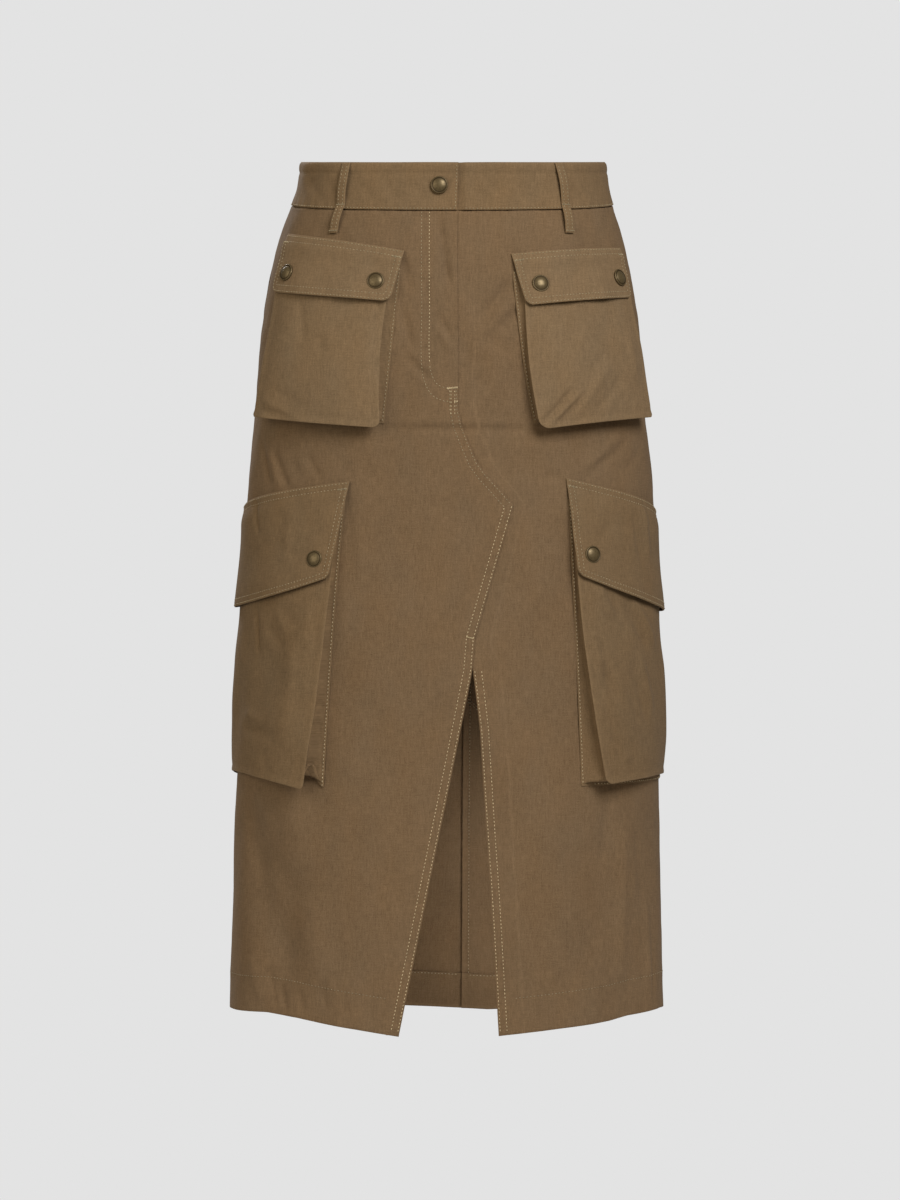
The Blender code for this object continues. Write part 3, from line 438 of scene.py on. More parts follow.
# Creases and pulls of the body cloth, the same columns as a face's creases.
FRONT_CREASES = (
    (-0.19, -0.0694, -0.152, -0.0991, 0.0035, -0.0008),
    (-0.189, -0.1129, -0.143, -0.1494, 0.0035, -0.001),
    (-0.21, -0.1059, -0.19, -0.1363, 0.0035, 0.0006),
    (-0.166, -0.145, -0.075, -0.1693, 0.003, 0.0006),
    (-0.158, -0.1545, -0.082, -0.1754, 0.003, -0.0006),
    (-0.142, -0.1684, -0.074, -0.1806, 0.003, 0.0004),
    (-0.057, -0.0321, -0.005, -0.0905, 0.004, -0.001),
    (-0.03, -0.0731, -0.005, -0.0922, 0.003, -0.0007),
    (-0.077, -0.0783, -0.055, -0.1148, 0.0035, 0.0005),
    (-0.055, -0.1165, -0.002, -0.1373, 0.0035, -0.0008),
    (-0.039, -0.1321, 0.006, -0.1512, 0.0035, 0.0007),
    (0.112, -0.1234, 0.241, -0.0884, 0.005, -0.0012),
    (0.081, -0.1451, 0.237, -0.1058, 0.005, 0.0008),
    (0.187, -0.132, 0.275, -0.1109, 0.004, -0.0007),
    (0.074, -0.1512, 0.156, -0.1459, 0.006, 0.0007),
    (0.126, -0.139, 0.243, -0.1509, 0.006, -0.0007),
    (-0.234, -0.2171, 0.292, -0.2178, 0.003, -0.0008),
    (-0.234, -0.212, 0.292, -0.2125, 0.004, 0.0003),
    (0.106, -0.253, 0.199, -0.2771, 0.003, 0.0004),
    (-0.784, -0.2269, -0.706, -0.2661, 0.0028, -0.0008),
    (-0.697, -0.2338, -0.613, -0.2666, 0.0028, -0.0008),
    (-0.736, -0.2308, -0.657, -0.2664, 0.0028, 0.0006),
    (-0.536, -0.2391, -0.473, -0.261, 0.0028, -0.0007),
    (-0.601, -0.2431, -0.561, -0.259, 0.0025, -0.0005),
    (-0.402, -0.2457, -0.362, -0.257, 0.0025, -0.0004),
    (0.498, -0.2497, 0.658, -0.2218, 0.004, 0.0007),
    (0.517, -0.2548, 0.713, -0.2249, 0.0035, -0.0006),
    (0.681, -0.2514, 0.793, -0.233, 0.003, -0.0004),
    (0.342, -0.2596, 0.406, -0.2578, 0.003, -0.0004),
    (-0.368, -0.27, -0.346, -0.346, 0.004, -0.0006),
    (-0.777, -0.541, -0.685, -0.613, 0.015, -0.002),
    (-0.685, -0.613, -0.583, -0.678, 0.017, -0.0015),
    (-0.553, -0.544, -0.496, -0.611, 0.017, 0.0018),
    (-0.496, -0.611, -0.424, -0.6975, 0.017, 0.0014),
    (-0.764, -0.5361, -0.533, -0.6323, 0.011, -0.0004),
    (-0.807, -0.5674, -0.698, -0.6183, 0.006, 0.0003),
    (-0.715, -0.678, -0.667, -0.7166, 0.005, 0.0006),
    (-0.646, -0.6857, -0.611, -0.7167, 0.003, -0.0008),
    (-0.597, -0.6982, -0.569, -0.7195, 0.003, -0.0009),
    (-0.515, -0.7031, -0.495, -0.7218, 0.0028, -0.0006),
    (-0.424, -0.6975, -0.407, -0.7206, 0.0028, -0.0006),
    (-0.34, -0.7079, -0.329, -0.7268, 0.0028, -0.0005),
    (-0.255, -0.7118, -0.247, -0.7299, 0.0025, -0.0004),
    (0.646, -0.5628, 0.63, -0.6917, 0.006, 0.0011),
    (0.58, -0.5388, 0.56, -0.5907, 0.006, -0.0007),
    (0.706, -0.5661, 0.731, -0.6277, 0.005, -0.0007),
    (0.752, -0.628, 0.772, -0.7029, 0.004, 0.0008),
    (0.789, -0.6637, 0.794, -0.7165, 0.0016, -0.0008),
    (0.56, -0.54, 0.5, -0.69, 0.014, -0.0008),
    (0.72, -0.54, 0.64, -0.7, 0.013, 0.0006),
    (-0.42, -0.26, -0.12, -0.245, 0.012, -0.0004),
    (0.16, -0.248, 0.42, -0.256, 0.012, -0.0004),
    (-0.15, -0.04, -0.19, -0.064, 0.005, 0.0004),
    (0.21, -0.04, 0.25, -0.064, 0.005, 0.0004),
)
BACK_CREASE_SHARE = 1.35  # the creases behind are that much deeper
BACK_CREASES = (
    (1.15, -0.03, 1.5, -0.052, 0.011, -0.0007),
    (-1.15, -0.03, -1.48, -0.056, 0.011, -0.0007),
    (1.25, -0.215, 1.9, -0.198, 0.013, -0.0009),
    (-1.24, -0.22, -1.86, -0.202, 0.013, -0.0008),
    (1.3, -0.245, 1.8, -0.233, 0.012, 0.0006),
    (-1.33, -0.252, -1.76, -0.236, 0.012, 0.0006),
    (1.21, -0.55, 1.42, -0.7, 0.015, -0.0013),
    (-1.21, -0.55, -1.38, -0.7, 0.015, -0.0012),
    (1.7, -0.42, 1.78, -0.72, 0.02, 0.0012),
    (-1.72, -0.44, -1.76, -0.72, 0.019, -0.0011),
    (1.08, -0.1, 1.25, -0.138, 0.005, -0.0008),
    (1.06, -0.124, 1.21, -0.162, 0.005, 0.0007),
    (-1.08, -0.105, -1.26, -0.142, 0.005, -0.0008),
    (-1.05, -0.13, -1.2, -0.174, 0.005, 0.0007),
    (1.62, -0.048, 1.69, -0.108, 0.007, -0.0007),
    (-1.64, -0.046, -1.7, -0.102, 0.007, -0.0007),
    (1.88, -0.088, 1.69, -0.142, 0.0055, 0.0007),
    (1.86, -0.104, 1.7, -0.156, 0.005, -0.0006),
    (-1.96, -0.093, -1.78, -0.148, 0.0055, -0.0007),
    (-1.95, -0.112, -1.8, -0.163, 0.005, 0.0006),
    (1.78, -0.27, 1.56, -0.356, 0.006, 0.0009),
    (1.74, -0.292, 1.54, -0.38, 0.006, -0.0009),
    (1.68, -0.326, 1.53, -0.401, 0.005, 0.0006),
    (-1.82, -0.276, -1.57, -0.35, 0.006, 0.0009),
    (-1.76, -0.302, -1.53, -0.382, 0.006, -0.0009),
    (-1.69, -0.336, -1.51, -0.408, 0.005, 0.0006),
    (1.45, -0.43, 1.29, -0.53, 0.007, -0.001),
    (1.48, -0.456, 1.33, -0.548, 0.006, 0.0008),
    (-1.47, -0.44, -1.29, -0.538, 0.007, -0.001),
    (-1.5, -0.47, -1.34, -0.56, 0.006, 0.0008),
    (1.62, -0.52, 1.54, -0.63, 0.007, 0.0009),
    (-1.6, -0.53, -1.53, -0.64, 0.007, 0.0009),
    (1.33, -0.676, 1.35, -0.728, 0.0035, -0.0008),
    (1.52, -0.69, 1.535, -0.734, 0.003, 0.0007),
    (1.69, -0.686, 1.7, -0.738, 0.0035, -0.0007),
    (1.13, -0.688, 1.14, -0.726, 0.003, 0.0006),
    (-1.15, -0.69, -1.16, -0.725, 0.003, 0.0006),
    (-1.3, -0.68, -1.32, -0.726, 0.0035, -0.0008),
    (-1.48, -0.692, -1.5, -0.732, 0.003, 0.0007),
    (-1.65, -0.684, -1.665, -0.735, 0.0035, -0.0007),
)

# -------- snaps

SNAP_SEAT = 0.0004
SNAP_REACH = 0.003  # its facing is taken from the cloth this far round it
SNAP_SEGMENTS = 48
SNAPS = (
    # name, girth, height, carrier
    ("snap_waist", -0.0116, -0.0058, "waistband"),
    ("snap_upper_outer_right", -0.1492, -0.0789, "upper_right"),
    ("snap_upper_inner_right", -0.0635, -0.0896, "upper_right"),
    ("snap_upper_inner_left", 0.0768, -0.0916, "upper_left"),
    ("snap_upper_outer_left", 0.156, -0.0829, "upper_left"),
    ("snap_lower_right", -0.1152, -0.3297, "lower_right"),
    ("snap_lower_left", 0.1224, -0.3257, "lower_left"),
)
SNAP_PROFILE = (
    # radius, rise
    (0.0066, -0.0003),
    (0.0072, 0.0),
    (0.0075, 0.0004),
    (0.0076, 0.0008),
    (0.0074, 0.0013),
    (0.007, 0.0016),
    (0.0066, 0.0016),
    (0.0063, 0.0013),
    (0.006, 0.0013),
    (0.0056, 0.0016),
    (0.0048, 0.002),
    (0.0037, 0.0024),
    (0.0024, 0.0027),
    (0.0011, 0.0028),
)
SNAP_CROWN = 0.00285  # rise at the middle of the cap

# -------- stage

CAMERA_PLACE = (-0.0027, -3.3, -0.365)
CAMERA_LENS = 110.88  # millimetres on a sensor 36 mm high
SENSOR = 36.0
FLOOR_DROP = 0.3  # floor below the hem
FLOOR_RADIUS = 0.85
FLOOR_SIDES = 128
COOL = (1.0, 1.0, 1.04)  # the key light
WARM = (1.0, 0.94, 0.84)  # the fill light and the light all round
LAMPS = (
    # name, size, place, colour
    ("key", 1.35, (1.2, -2.2, 1.2), COOL),
    ("fill", 2.2, (-2.1, -1.9, 0.4), WARM),
    ("rear", 1.2, (-1.3, 2.8, 1.9), COOL),
)
STRIP_SIZE = (0.05, 0.24)  # light on the inside of the backs, through the slit
STRIP_PLACES = ((0.045, 0.055, -0.63), (0.0, 0.12, -0.63))  # and what it looks at


# ======== settings

def display_colour(red, green, blue):
    """Linear colour of an 8-bit display colour."""
    return tuple(((c / 255 + 0.055) / 1.055) ** 2.4 for c in (red, green, blue))


class SkirtCloth(bpy.types.PropertyGroup):
    """The twill and how it lies."""

    twill: FloatVectorProperty(
        name="Twill", description="Colour of the skirt's cloth",
        subtype="COLOR", size=3, min=0.0, max=1.0,
        default=display_colour(118, 94, 66))
    # Lighter colour along folded edges: partly rubbed wear, partly a painted highlight where
    # the folds catch light.
    worn_and_lit: FloatVectorProperty(
        name="Worn edges", description="Colour of the cloth where folds rub",
        subtype="COLOR", size=3, min=0.0, max=1.0,
        default=display_colour(142, 118, 86))
    slub: FloatProperty(
        name="Slub", description="Strength of the uneven yarns along the cloth",
        default=0.42, min=0.0, max=1.0, subtype="FACTOR")
    crease: FloatProperty(
        name="Creases", description="Depth of the creases against those tabled",
        default=2.4, min=0.0, max=4.0, subtype="FACTOR")
    ripple: FloatProperty(
        name="Ripple", description="Height of the soft waves all over the cloth",
        default=0.00044, min=0.0, max=0.003, unit="LENGTH")


class SkirtSewing(bpy.types.PropertyGroup):
    """Thread and stitches."""

    thread: FloatVectorProperty(
        name="Thread", description="Colour of the sewing thread",
        subtype="COLOR", size=3, min=0.0, max=1.0,
        default=display_colour(232, 210, 166))
    thickness: FloatProperty(
        name="Thickness", description="Diameter of the thread",
        default=0.00068, min=0.0001, max=0.002, unit="LENGTH")
    stitch: FloatProperty(
        name="Stitch", description="Length of one stitch",
        default=0.0016, min=0.001, max=0.01, unit="LENGTH")
    space: FloatProperty(
        name="Space", description="Cloth between two stitches",
        default=0.0016, min=0.0002, max=0.01, unit="LENGTH")


class SkirtSnaps(bpy.types.PropertyGroup):
    """The snap caps."""

    brass: FloatVectorProperty(
        name="Brass", description="Colour of the caps where they are bright",
        subtype="COLOR", size=3, min=0.0, max=1.0,
        default=display_colour(112, 96, 66))
    tarnish: FloatVectorProperty(
        name="Tarnish", description="Colour of the caps in the grooves",
        subtype="COLOR", size=3, min=0.0, max=1.0,
        default=display_colour(62, 48, 26))


class SkirtStage(bpy.types.PropertyGroup):
    """Studio round the skirt."""

    backdrop: FloatVectorProperty(
        name="Backdrop", description="Colour behind the skirt",
        subtype="COLOR", size=3, min=0.0, max=1.0,
        default=display_colour(227, 227, 227))
    key: FloatProperty(
        name="Key light", description="Power of the large light in front",
        default=62.0, min=0.0, unit="POWER")
    fill: FloatProperty(
        name="Fill light", description="Power of the light on the other side",
        default=28.0, min=0.0, unit="POWER")
    rear: FloatProperty(
        name="Rear light", description="Power of the large light behind",
        default=76.0, min=0.0, unit="POWER")
    inside: FloatProperty(
        name="Inside light", description="Power of the light on the inside of the backs",
        default=0.080, min=0.0, unit="POWER")
    ambient: FloatProperty(
        name="Ambient", description="Light from all round",
        default=0.20, min=0.0, max=4.0, subtype="FACTOR")
    gloss: FloatProperty(
        name="Gloss", description="Brightness all round as the metal mirrors it",
        default=0.16, min=0.0, max=4.0, subtype="FACTOR")


# ======== surface

def ease(value):
    """0 below 0, 1 above 1, smooth between."""
    value = np.clip(value, 0.0, 1.0)
    return value * value * (3.0 - 2.0 * value)


def bump(value):
    """A bell of height 1 about 0."""
    return np.exp(-np.square(value))


def unit(vectors):
    """The same directions with a length of 1."""
    return vectors / np.linalg.norm(vectors, axis=-1, keepdims=True)


def run_along(points):
    """Length run from the first of a line of points to each one."""
    return np.concatenate(([0.0], np.cumsum(np.linalg.norm(np.diff(points, axis=0), axis=1))))


def read_along(where, run, values):
    """Rows of values at lengths along a line, in straight steps."""
    return np.stack([np.interp(where, run, column) for column in values.T], axis=1)


def rolls(distance, rows):
    """Ridges and grooves beside an edge, each by its (middle, width, rise)."""
    return sum(rise * bump((distance - middle) / width) for middle, width, rise in rows)


def gathers(run, girth, wave, sway, turn):
    """Uneven gathers along a seam, between -1 and 1."""
    return np.sin(2 * math.pi * run / wave + sway * np.sin(girth * turn))


def through(table, value):
    """Read a two-column table at a value of its first column, in straight steps."""
    rows = np.array(sorted(table))
    return np.interp(value, rows[:, 0], rows[:, 1])


def curve_through(x, y, value):
    """Read a smooth curve that passes through points at rising x."""
    steps = np.diff(y) / np.diff(x)
    slopes = np.concatenate(([steps[0]], (steps[:-1] + steps[1:]) / 2.0, [steps[-1]]))
    value = np.clip(value, x[0], x[-1])
    i = np.clip(np.searchsorted(x, value, side="right") - 1, 0, len(x) - 2)
    h = x[i + 1] - x[i]
    t = (value - x[i]) / h
    return (y[i] * (1 + 2 * t) * (1 - t) ** 2 + slopes[i] * h * t * (1 - t) ** 2
            + y[i + 1] * t * t * (3 - 2 * t) + slopes[i + 1] * h * t * t * (t - 1))


def section(height, column):
    """One column of SECTIONS, on a smooth curve through its rows."""
    rows = np.array(sorted(SECTIONS))
    return curve_through(rows[:, 0], rows[:, SECTION_COLUMNS.index(column)], height)


def quarter_tables(depth_column):
    """Shape of a quarter section by arc share: x, y and the quarter's length."""
    angles = np.linspace(0.0, math.pi / 2, 4 * QUARTER_STEPS)
    heights = np.linspace(SECTIONS[-1][0], SECTIONS[0][0], LEVEL_STEPS)
    shares = np.linspace(0.0, 1.0, QUARTER_STEPS)
    xs = []
    ys = []
    lengths = []
    for height in heights:
        x = section(height, "half_width") * np.sin(angles) ** (2 / SECTION_POWER)
        y = section(height, depth_column) * np.cos(angles) ** (2 / SECTION_POWER)
        arc = np.concatenate(([0.0], np.cumsum(np.hypot(np.diff(x), np.diff(y)))))
        xs.append(np.interp(shares * arc[-1], arc, x))
        ys.append(np.interp(shares * arc[-1], arc, y))
        lengths.append(arc[-1])
    return heights, np.array(xs), np.array(ys), np.array(lengths)


FRONT_QUARTER = quarter_tables("front_depth")
BACK_QUARTER = quarter_tables("back_depth")


def lookup(table, heights, height, share):
    """Bilinear read of a table by height and arc share."""
    rows, columns = table.shape
    row = (height - heights[0]) / (heights[-1] - heights[0]) * (rows - 1)
    row = np.clip(row, 0.0, rows - 1.001)
    column = np.clip(share * (columns - 1), 0.0, columns - 1.001)
    i = row.astype(int)
    j = column.astype(int)
    u = row - i
    v = column - j
    return ((1 - u) * (1 - v) * table[i, j] + u * (1 - v) * table[i + 1, j]
            + (1 - u) * v * table[i, j + 1] + u * v * table[i + 1, j + 1])


def quarter_length(height, back=False):
    """Length along the cloth from centre front (or back) to the side seam."""
    heights, _, _, lengths = BACK_QUARTER if back else FRONT_QUARTER
    return np.interp(height, heights, lengths)


FRONT_LENGTH = float(quarter_length(MID_HEIGHT))
BACK_LENGTH = float(quarter_length(MID_HEIGHT, back=True))


def across_at(girth, height):
    """Quarters of the girth for a distance in metres from the centre front."""
    front = quarter_length(height)
    back = quarter_length(height, back=True)
    size = np.abs(girth)
    beyond = 1.0 + (size - front) / back
    return np.sign(girth) * np.where(size <= front, size / front, beyond)


def girth_at(across, height):
    """Distance in metres from the centre front for quarters of the girth."""
    front = quarter_length(height)
    back = quarter_length(height, back=True)
    size = np.abs(across)
    return np.sign(across) * np.where(size <= 1.0, size * front, front + (size - 1.0) * back)


def on_cloth(across, height):
    """(girth, height) places for across and height."""
    return np.stack((girth_at(across, height), height), axis=-1)


def fold_depth(across, height):
    """Sum of the soft folds at a place on the body cloth."""
    total = np.zeros(np.broadcast(across, height).shape)
    length = quarter_length(height)
    for top, high, bottom, low, half_width, depth in FOLDS:
        down = np.clip((high - height) / (high - low), 0.0, 1.0)
        middle = top + (bottom - top) * down
        total = total + depth * bump((across - middle) * length / half_width) * ease(
            down / FOLD_GROWTH)
    return total


def place(across, height, out=0.0):
    """World points for places on the skirt surface, moved out by "out"."""
    across, height, out = np.broadcast_arrays(np.asarray(across, float),
                                              np.asarray(height, float),
                                              np.asarray(out, float))
    around = np.mod(across + 2.0, 4.0) - 2.0
    side = np.where(around < 0.0, -1.0, 1.0)
    size = np.abs(around)
    is_front = size <= 1.0
    heights, front_x, front_y, _ = FRONT_QUARTER
    _, back_x, back_y, _ = BACK_QUARTER
    front_share = np.clip(size, 0.0, 1.0)
    back_share = np.clip(2.0 - size, 0.0, 1.0)
    x = np.where(is_front, lookup(front_x, heights, height, front_share),
                 lookup(back_x, heights, height, back_share))
    y = np.where(is_front, -lookup(front_y, heights, height, front_share),
                 lookup(back_y, heights, height, back_share))
    width = section(height, "half_width")
    depth = np.where(is_front, section(height, "front_depth"),
                     section(height, "back_depth"))
    normal_x = (x / width) ** (SECTION_POWER - 1) / width
    normal_y = np.sign(y) * np.abs(y / depth) ** (SECTION_POWER - 1) / depth
    size = np.hypot(normal_x, normal_y)
    moved = out + fold_depth(around, height)
    return np.stack((section(height, "centre") + side * (x + moved * normal_x / size),
                     y + moved * normal_y / size,
                     height), axis=-1)


def faced(across, height, out):
    """World points, and the directions that lead off the cloth there."""
    points = place(across, height, out)
    return points, unit(place(across, height, out + FACING_STEP) - points)


def edge_height(across, side_height, front_slope, back_slope):
    """Height of an edge that tilts with the depth of the skirt."""
    across = np.asarray(across, float)
    level = np.full(across.shape, side_height)
    for _ in range(3):
        depth = place(across, level)[..., 1]
        level = side_height + np.where(depth < 0, front_slope, back_slope) * depth
    return level


def waist_top(across):
    return edge_height(across, WAIST_SIDE_HEIGHT, WAIST_FRONT_SLOPE, WAIST_BACK_SLOPE)


def band_seam(across):
    return edge_height(across, BAND_SIDE_HEIGHT, BAND_FRONT_SLOPE, BAND_BACK_SLOPE)


def hem_height(across):
    around = np.mod(np.asarray(across, float) + 2.0, 4.0) - 2.0
    return through(HEM, around)


# ======== relief

def ripple(u, v, seed, wave_u, wave_v, count=8):
    """Uneven soft waves of about unit height over places in metres."""
    draw = np.random.default_rng(seed)
    total = np.zeros(np.broadcast(u, v).shape)
    for _ in range(count):
        turn_u = 2 * math.pi / wave_u * draw.uniform(-1.5, 1.5)
        turn_v = 2 * math.pi / wave_v * draw.uniform(0.5, 1.5)
        total = total + np.sin(turn_u * u + turn_v * v + draw.uniform(0, 2 * math.pi))
    return total / math.sqrt(count)


def near_path(path, girth, height):
    """Distance to a path of (girth, height) places, and the length along it."""
    best = np.full(np.shape(girth), 1.0)
    along = np.zeros(np.shape(girth))
    run = 0.0
    for start, end in zip(path[:-1], path[1:]):
        step_g = end[0] - start[0]
        step_h = end[1] - start[1]
        length = math.hypot(step_g, step_h)
        t = ((girth - start[0]) * step_g + (height - start[1]) * step_h) / length ** 2
        t = np.clip(t, 0.0, 1.0)
        away = np.hypot(girth - start[0] - t * step_g, height - start[1] - t * step_h)
        closer = away < best
        best = np.where(closer, away, best)
        along = np.where(closer, run + t * length, along)
        run += length
    return best, along


def sewn(paths, girth, height):
    """Sunk and gathered cloth along rows of stitches."""
    total = np.zeros(np.shape(girth))
    for path in paths:
        away, along = near_path(path, girth, height)
        drift = 1.7 * np.sin(2 * math.pi * along / PUCKER_DRIFT)
        gather = np.sin(2 * math.pi * along / PUCKER_WAVE + drift)
        total -= CHANNEL_DEPTH * bump(away / CHANNEL_WIDTH)
        total += PUCKER_DEPTH * gather * bump(away / PUCKER_REACH)
    return total


def creased(table, across, height):
    """Soft troughs and ridges that taper at both ends."""
    total = np.zeros(np.broadcast(across, height).shape)
    for across_a, height_a, across_b, height_b, half_width, depth in table:
        scale = float(quarter_length((height_a + height_b) / 2))
        step_a = (across_b - across_a) * scale
        step_h = height_b - height_a
        square = step_a ** 2 + step_h ** 2
        off_a = (across - across_a) * scale
        off_h = height - height_a
        t = (off_a * step_a + off_h * step_h) / square
        away = np.abs(off_a * step_h - off_h * step_a) / math.sqrt(square)
        taper = ease((t + 0.15) / 0.4) * ease((1.15 - t) / 0.4)
        total = total + depth * bump(away / half_width) * taper
    return total * bpy.context.scene.skirt_cloth.crease


def turned(points, distance, flip=False):
    """A path of (girth, height) places moved sideways, mitred at its turns."""
    points = np.asarray(points, float)
    along = np.diff(points, axis=0)
    along = unit(along)
    normals = np.stack((-along[:, 1], along[:, 0]), axis=1)
    if flip:
        normals = -normals
    before = np.vstack((normals[:1], normals))
    after = np.vstack((normals, normals[-1:]))
    middle = before + after
    middle = middle / np.sum(middle * before, axis=1)[:, None]
    return points + middle * distance


def table_path(table, high, low):
    """The (girth, height) path of a (height, girth) table between two heights."""
    inside = [row for row in sorted(table, reverse=True) if low < row[0] < high]
    ends = [(float(through(table, level)), level) for level in (high, low)]
    return [ends[0]] + [(girth, height) for height, girth in inside] + [ends[1]]


def smooth_path(path, step=0.001):
    """A path of places close together along a smooth curve through a few."""
    points = np.asarray(path, float)
    run = run_along(points)
    at = np.linspace(0.0, run[-1], max(3, int(run[-1] / step)))
    return np.stack([curve_through(run, points[:, k], at) for k in range(2)], axis=1)


def level_path(across_a, across_b, height_of, lift, count=60):
    """A (girth, height) path along an edge, moved up by lift."""
    across = np.linspace(across_a, across_b, count)
    return on_cloth(across, height_of(across) + lift)


def lap_rows(low):
    """Two rows along the right front's free edge, from the fly to a height."""
    path = table_path(RIGHT_FRONT_EDGE, LAP_ROW_TOP, low)
    return [turned(path, inset, flip=True) for inset in (EDGE_ROW, SECOND_ROW)]


def slit_rows(low):
    """Two rows along the left front's slit edge."""
    path = table_path(LEFT_SLIT_EDGE, SLIT_TOP + 0.0005, low)
    return [turned(path, inset) for inset in (EDGE_ROW, SECOND_ROW)]


def hem_low(corner, rise):
    """Height a little above the hem at a place."""
    return float(hem_height(corner)) + rise


def hem_row(across_a, across_b):
    return level_path(across_a, across_b, hem_height, TURN_UP)


def front_paths():
    """Rows of stitches that sink the front cloth."""
    paths = [smooth_path(FLY_OUTER_ROW, 0.008), smooth_path(FLY_INNER_ROW, 0.008)]
    paths += lap_rows(hem_low(RIGHT_CORNER, EDGE_ROW))
    paths += slit_rows(hem_low(LEFT_CORNER, EDGE_ROW))
    paths += [hem_row(*RIGHT_HEM), hem_row(*LEFT_HEM)]
    return paths


def behind_band(across, height):
    """The panels' step back to lie behind the waistband."""
    rise = height - band_seam(across)
    return -ALLOWANCE_DROP * ease((rise + 0.0016) / 0.0018)


def held(relief, across, height):
    """Relief of a panel, kept close to the surface where the band holds it."""
    below = np.maximum(band_seam(across) - height, 0.0)
    return np.clip(relief, -HELD_DEPTH - HELD_SLOPE * below, HELD_DEPTH + HELD_RISE * below)


def rumpled(girth, height, seed, strength):
    """Soft waves all over the cloth, closer together over the hips."""
    long_waves = ripple(girth, height, seed, 0.060, 0.120)
    short_waves = ripple(girth, height, seed + 1, 0.026, 0.034, 12)
    hips = 0.45 + 0.55 * ease((height + 0.34) / 0.12)
    return strength * (long_waves + RUMPLE * hips * short_waves)


def front_out(across, height):
    """Outer face of the fronts off the skirt surface."""
    girth = girth_at(across, height)
    relief = (rumpled(girth, height, 11, bpy.context.scene.skirt_cloth.ripple)
              + creased(FRONT_CREASES, across, height))
    return (held(relief, across, height) + behind_band(across, height)
            + sewn(front_paths(), girth, height))


def back_row_girths():
    """Across of the two rows of stitches that hold the centre-back seam."""
    return [CENTRE_BACK_SEAM - 4.0 + inset / BACK_LENGTH
            for inset in (EDGE_ROW, BACK_SECOND_ROW)]


def centre_back_rows():
    """The two rows beside the centre-back seam, on the right back."""
    rows = []
    for across in back_row_girths():
        height = np.linspace(float(band_seam(across)) - 0.001,
                             float(hem_height(across)) + 0.001, 80)
        rows.append(on_cloth(across, height))
    return rows


def back_out(across, height):
    """Outer face of the backs off the skirt surface."""
    girth = girth_at(across, height)
    whole = 2 * (quarter_length(height) + quarter_length(height, back=True))
    unbroken = girth - np.where(across > 0, whole, 0.0)
    relief = (rumpled(unbroken, height, 23, bpy.context.scene.skirt_cloth.ripple)
              + BACK_CREASE_SHARE * creased(BACK_CREASES, across, height))
    rows = centre_back_rows() + [hem_row(*BACK_RIGHT_HEM), hem_row(*BACK_LEFT_HEM)]
    return (held(relief, across, height) + behind_band(across, height)
            + sewn(rows, girth, height))


# ======== cloth meshes

def rim_loop(rows, columns):
    """Grid places round the edge, and which side each lies on."""
    loop = [(0, j, 0) for j in range(columns)]
    loop += [(i, columns - 1, 1) for i in range(1, rows)]
    loop += [(rows - 1, j, 2) for j in range(columns - 2, -1, -1)]
    loop += [(i, 0, 3) for i in range(rows - 2, 0, -1)]
    return np.array(loop)


def cells(index, flip):
    """Four-sided faces over a grid of point numbers."""
    quads = np.stack((index[:-1, :-1], index[:-1, 1:], index[1:, 1:], index[1:, :-1]),
                     axis=-1).reshape(-1, 4)
    return quads[:, ::-1] if flip else quads


def shell(outer, inner, flat, rims=(1.0, 1.0, 1.0, 1.0)):
    """A closed patch of cloth between two skins, its edges rounded over.

    rims gives each side's roundness: top, last column, bottom, first column.
    The rounded edge stays inside the patch's own outline.
    """
    outer = outer.copy()
    inner = inner.copy()
    rows, columns, _ = outer.shape
    i, j, side = rim_loop(rows, columns).T
    middle = (outer + inner) / 2
    facing = (outer - inner)[i, j]
    radius = np.linalg.norm(facing, axis=1, keepdims=True) / 2
    facing = facing / (2 * radius)
    reach = middle[i, j] - middle[np.clip(i, 1, rows - 2), np.clip(j, 1, columns - 2)]
    reach = reach - facing * np.sum(reach * facing, axis=1, keepdims=True)
    reach = unit(reach)
    tip = radius * np.array(rims)[side][:, None]
    outer[i, j] -= reach * tip
    inner[i, j] -= reach * tip
    centre = middle[i, j] - reach * tip
    rings = []
    for k in range(1, RIM_RINGS + 1):
        angle = math.pi / 2 - math.pi * k / (RIM_RINGS + 1)
        rings.append(centre + reach * tip * math.cos(angle)
                     + facing * radius * math.sin(angle))
    count = rows * columns
    index = np.arange(count).reshape(rows, columns)
    turns = len(i)
    strip = [index[i, j]]
    strip += [2 * count + k * turns + np.arange(turns) for k in range(RIM_RINGS)]
    strip += [count + index[i, j]]
    strip = np.array(strip).T
    strip = np.vstack((strip, strip[:1]))
    faces = np.vstack((cells(index, False), cells(index + count, True),
                       cells(strip, False)))
    points = np.vstack((outer.reshape(-1, 3), inner.reshape(-1, 3), *rings))
    # Mask of folded edges drawn lighter: partly wear, partly painted highlight.
    wear = edge_wear_and_highlight(flat, rims)
    places = np.vstack((flat.reshape(-1, 2), flat.reshape(-1, 2),
                        *([flat[i, j]] * RIM_RINGS)))
    worn_and_lit = np.concatenate((wear.ravel(), wear.ravel(), *([wear[i, j]] * RIM_RINGS)))
    a, b, c, d = (points[faces[0][k]] for k in range(4))
    if np.dot(np.cross(c - a, d - b), (outer - inner)[0, 0]) < 0:
        faces = faces[:, ::-1]
    return points, faces, places, worn_and_lit


def edge_wear_and_highlight(flat, rims):
    """How much each place of a patch lies on a folded edge that is drawn lighter: partly
    rubbed wear, partly a painted highlight where the fold catches light.
    """
    ends = (flat[:1], flat[:, -1:], flat[-1:], flat[:, :1])
    wear = np.zeros(flat.shape[:2])
    for end, share in zip(ends, rims):
        away = np.linalg.norm(flat - end, axis=2)
        wear = np.maximum(wear, (share > 0.5) * bump(away / 0.0018))
    return wear


def lay(across, height, out, wall, rims=(1.0, 1.0, 1.0, 1.0)):
    """A patch of cloth on the skirt surface. out is its outer face."""
    across, height, out = np.broadcast_arrays(across, height, out)
    flat = on_cloth(across, height)
    return shell(place(across, height, out), place(across, height, out - wall), flat, rims)


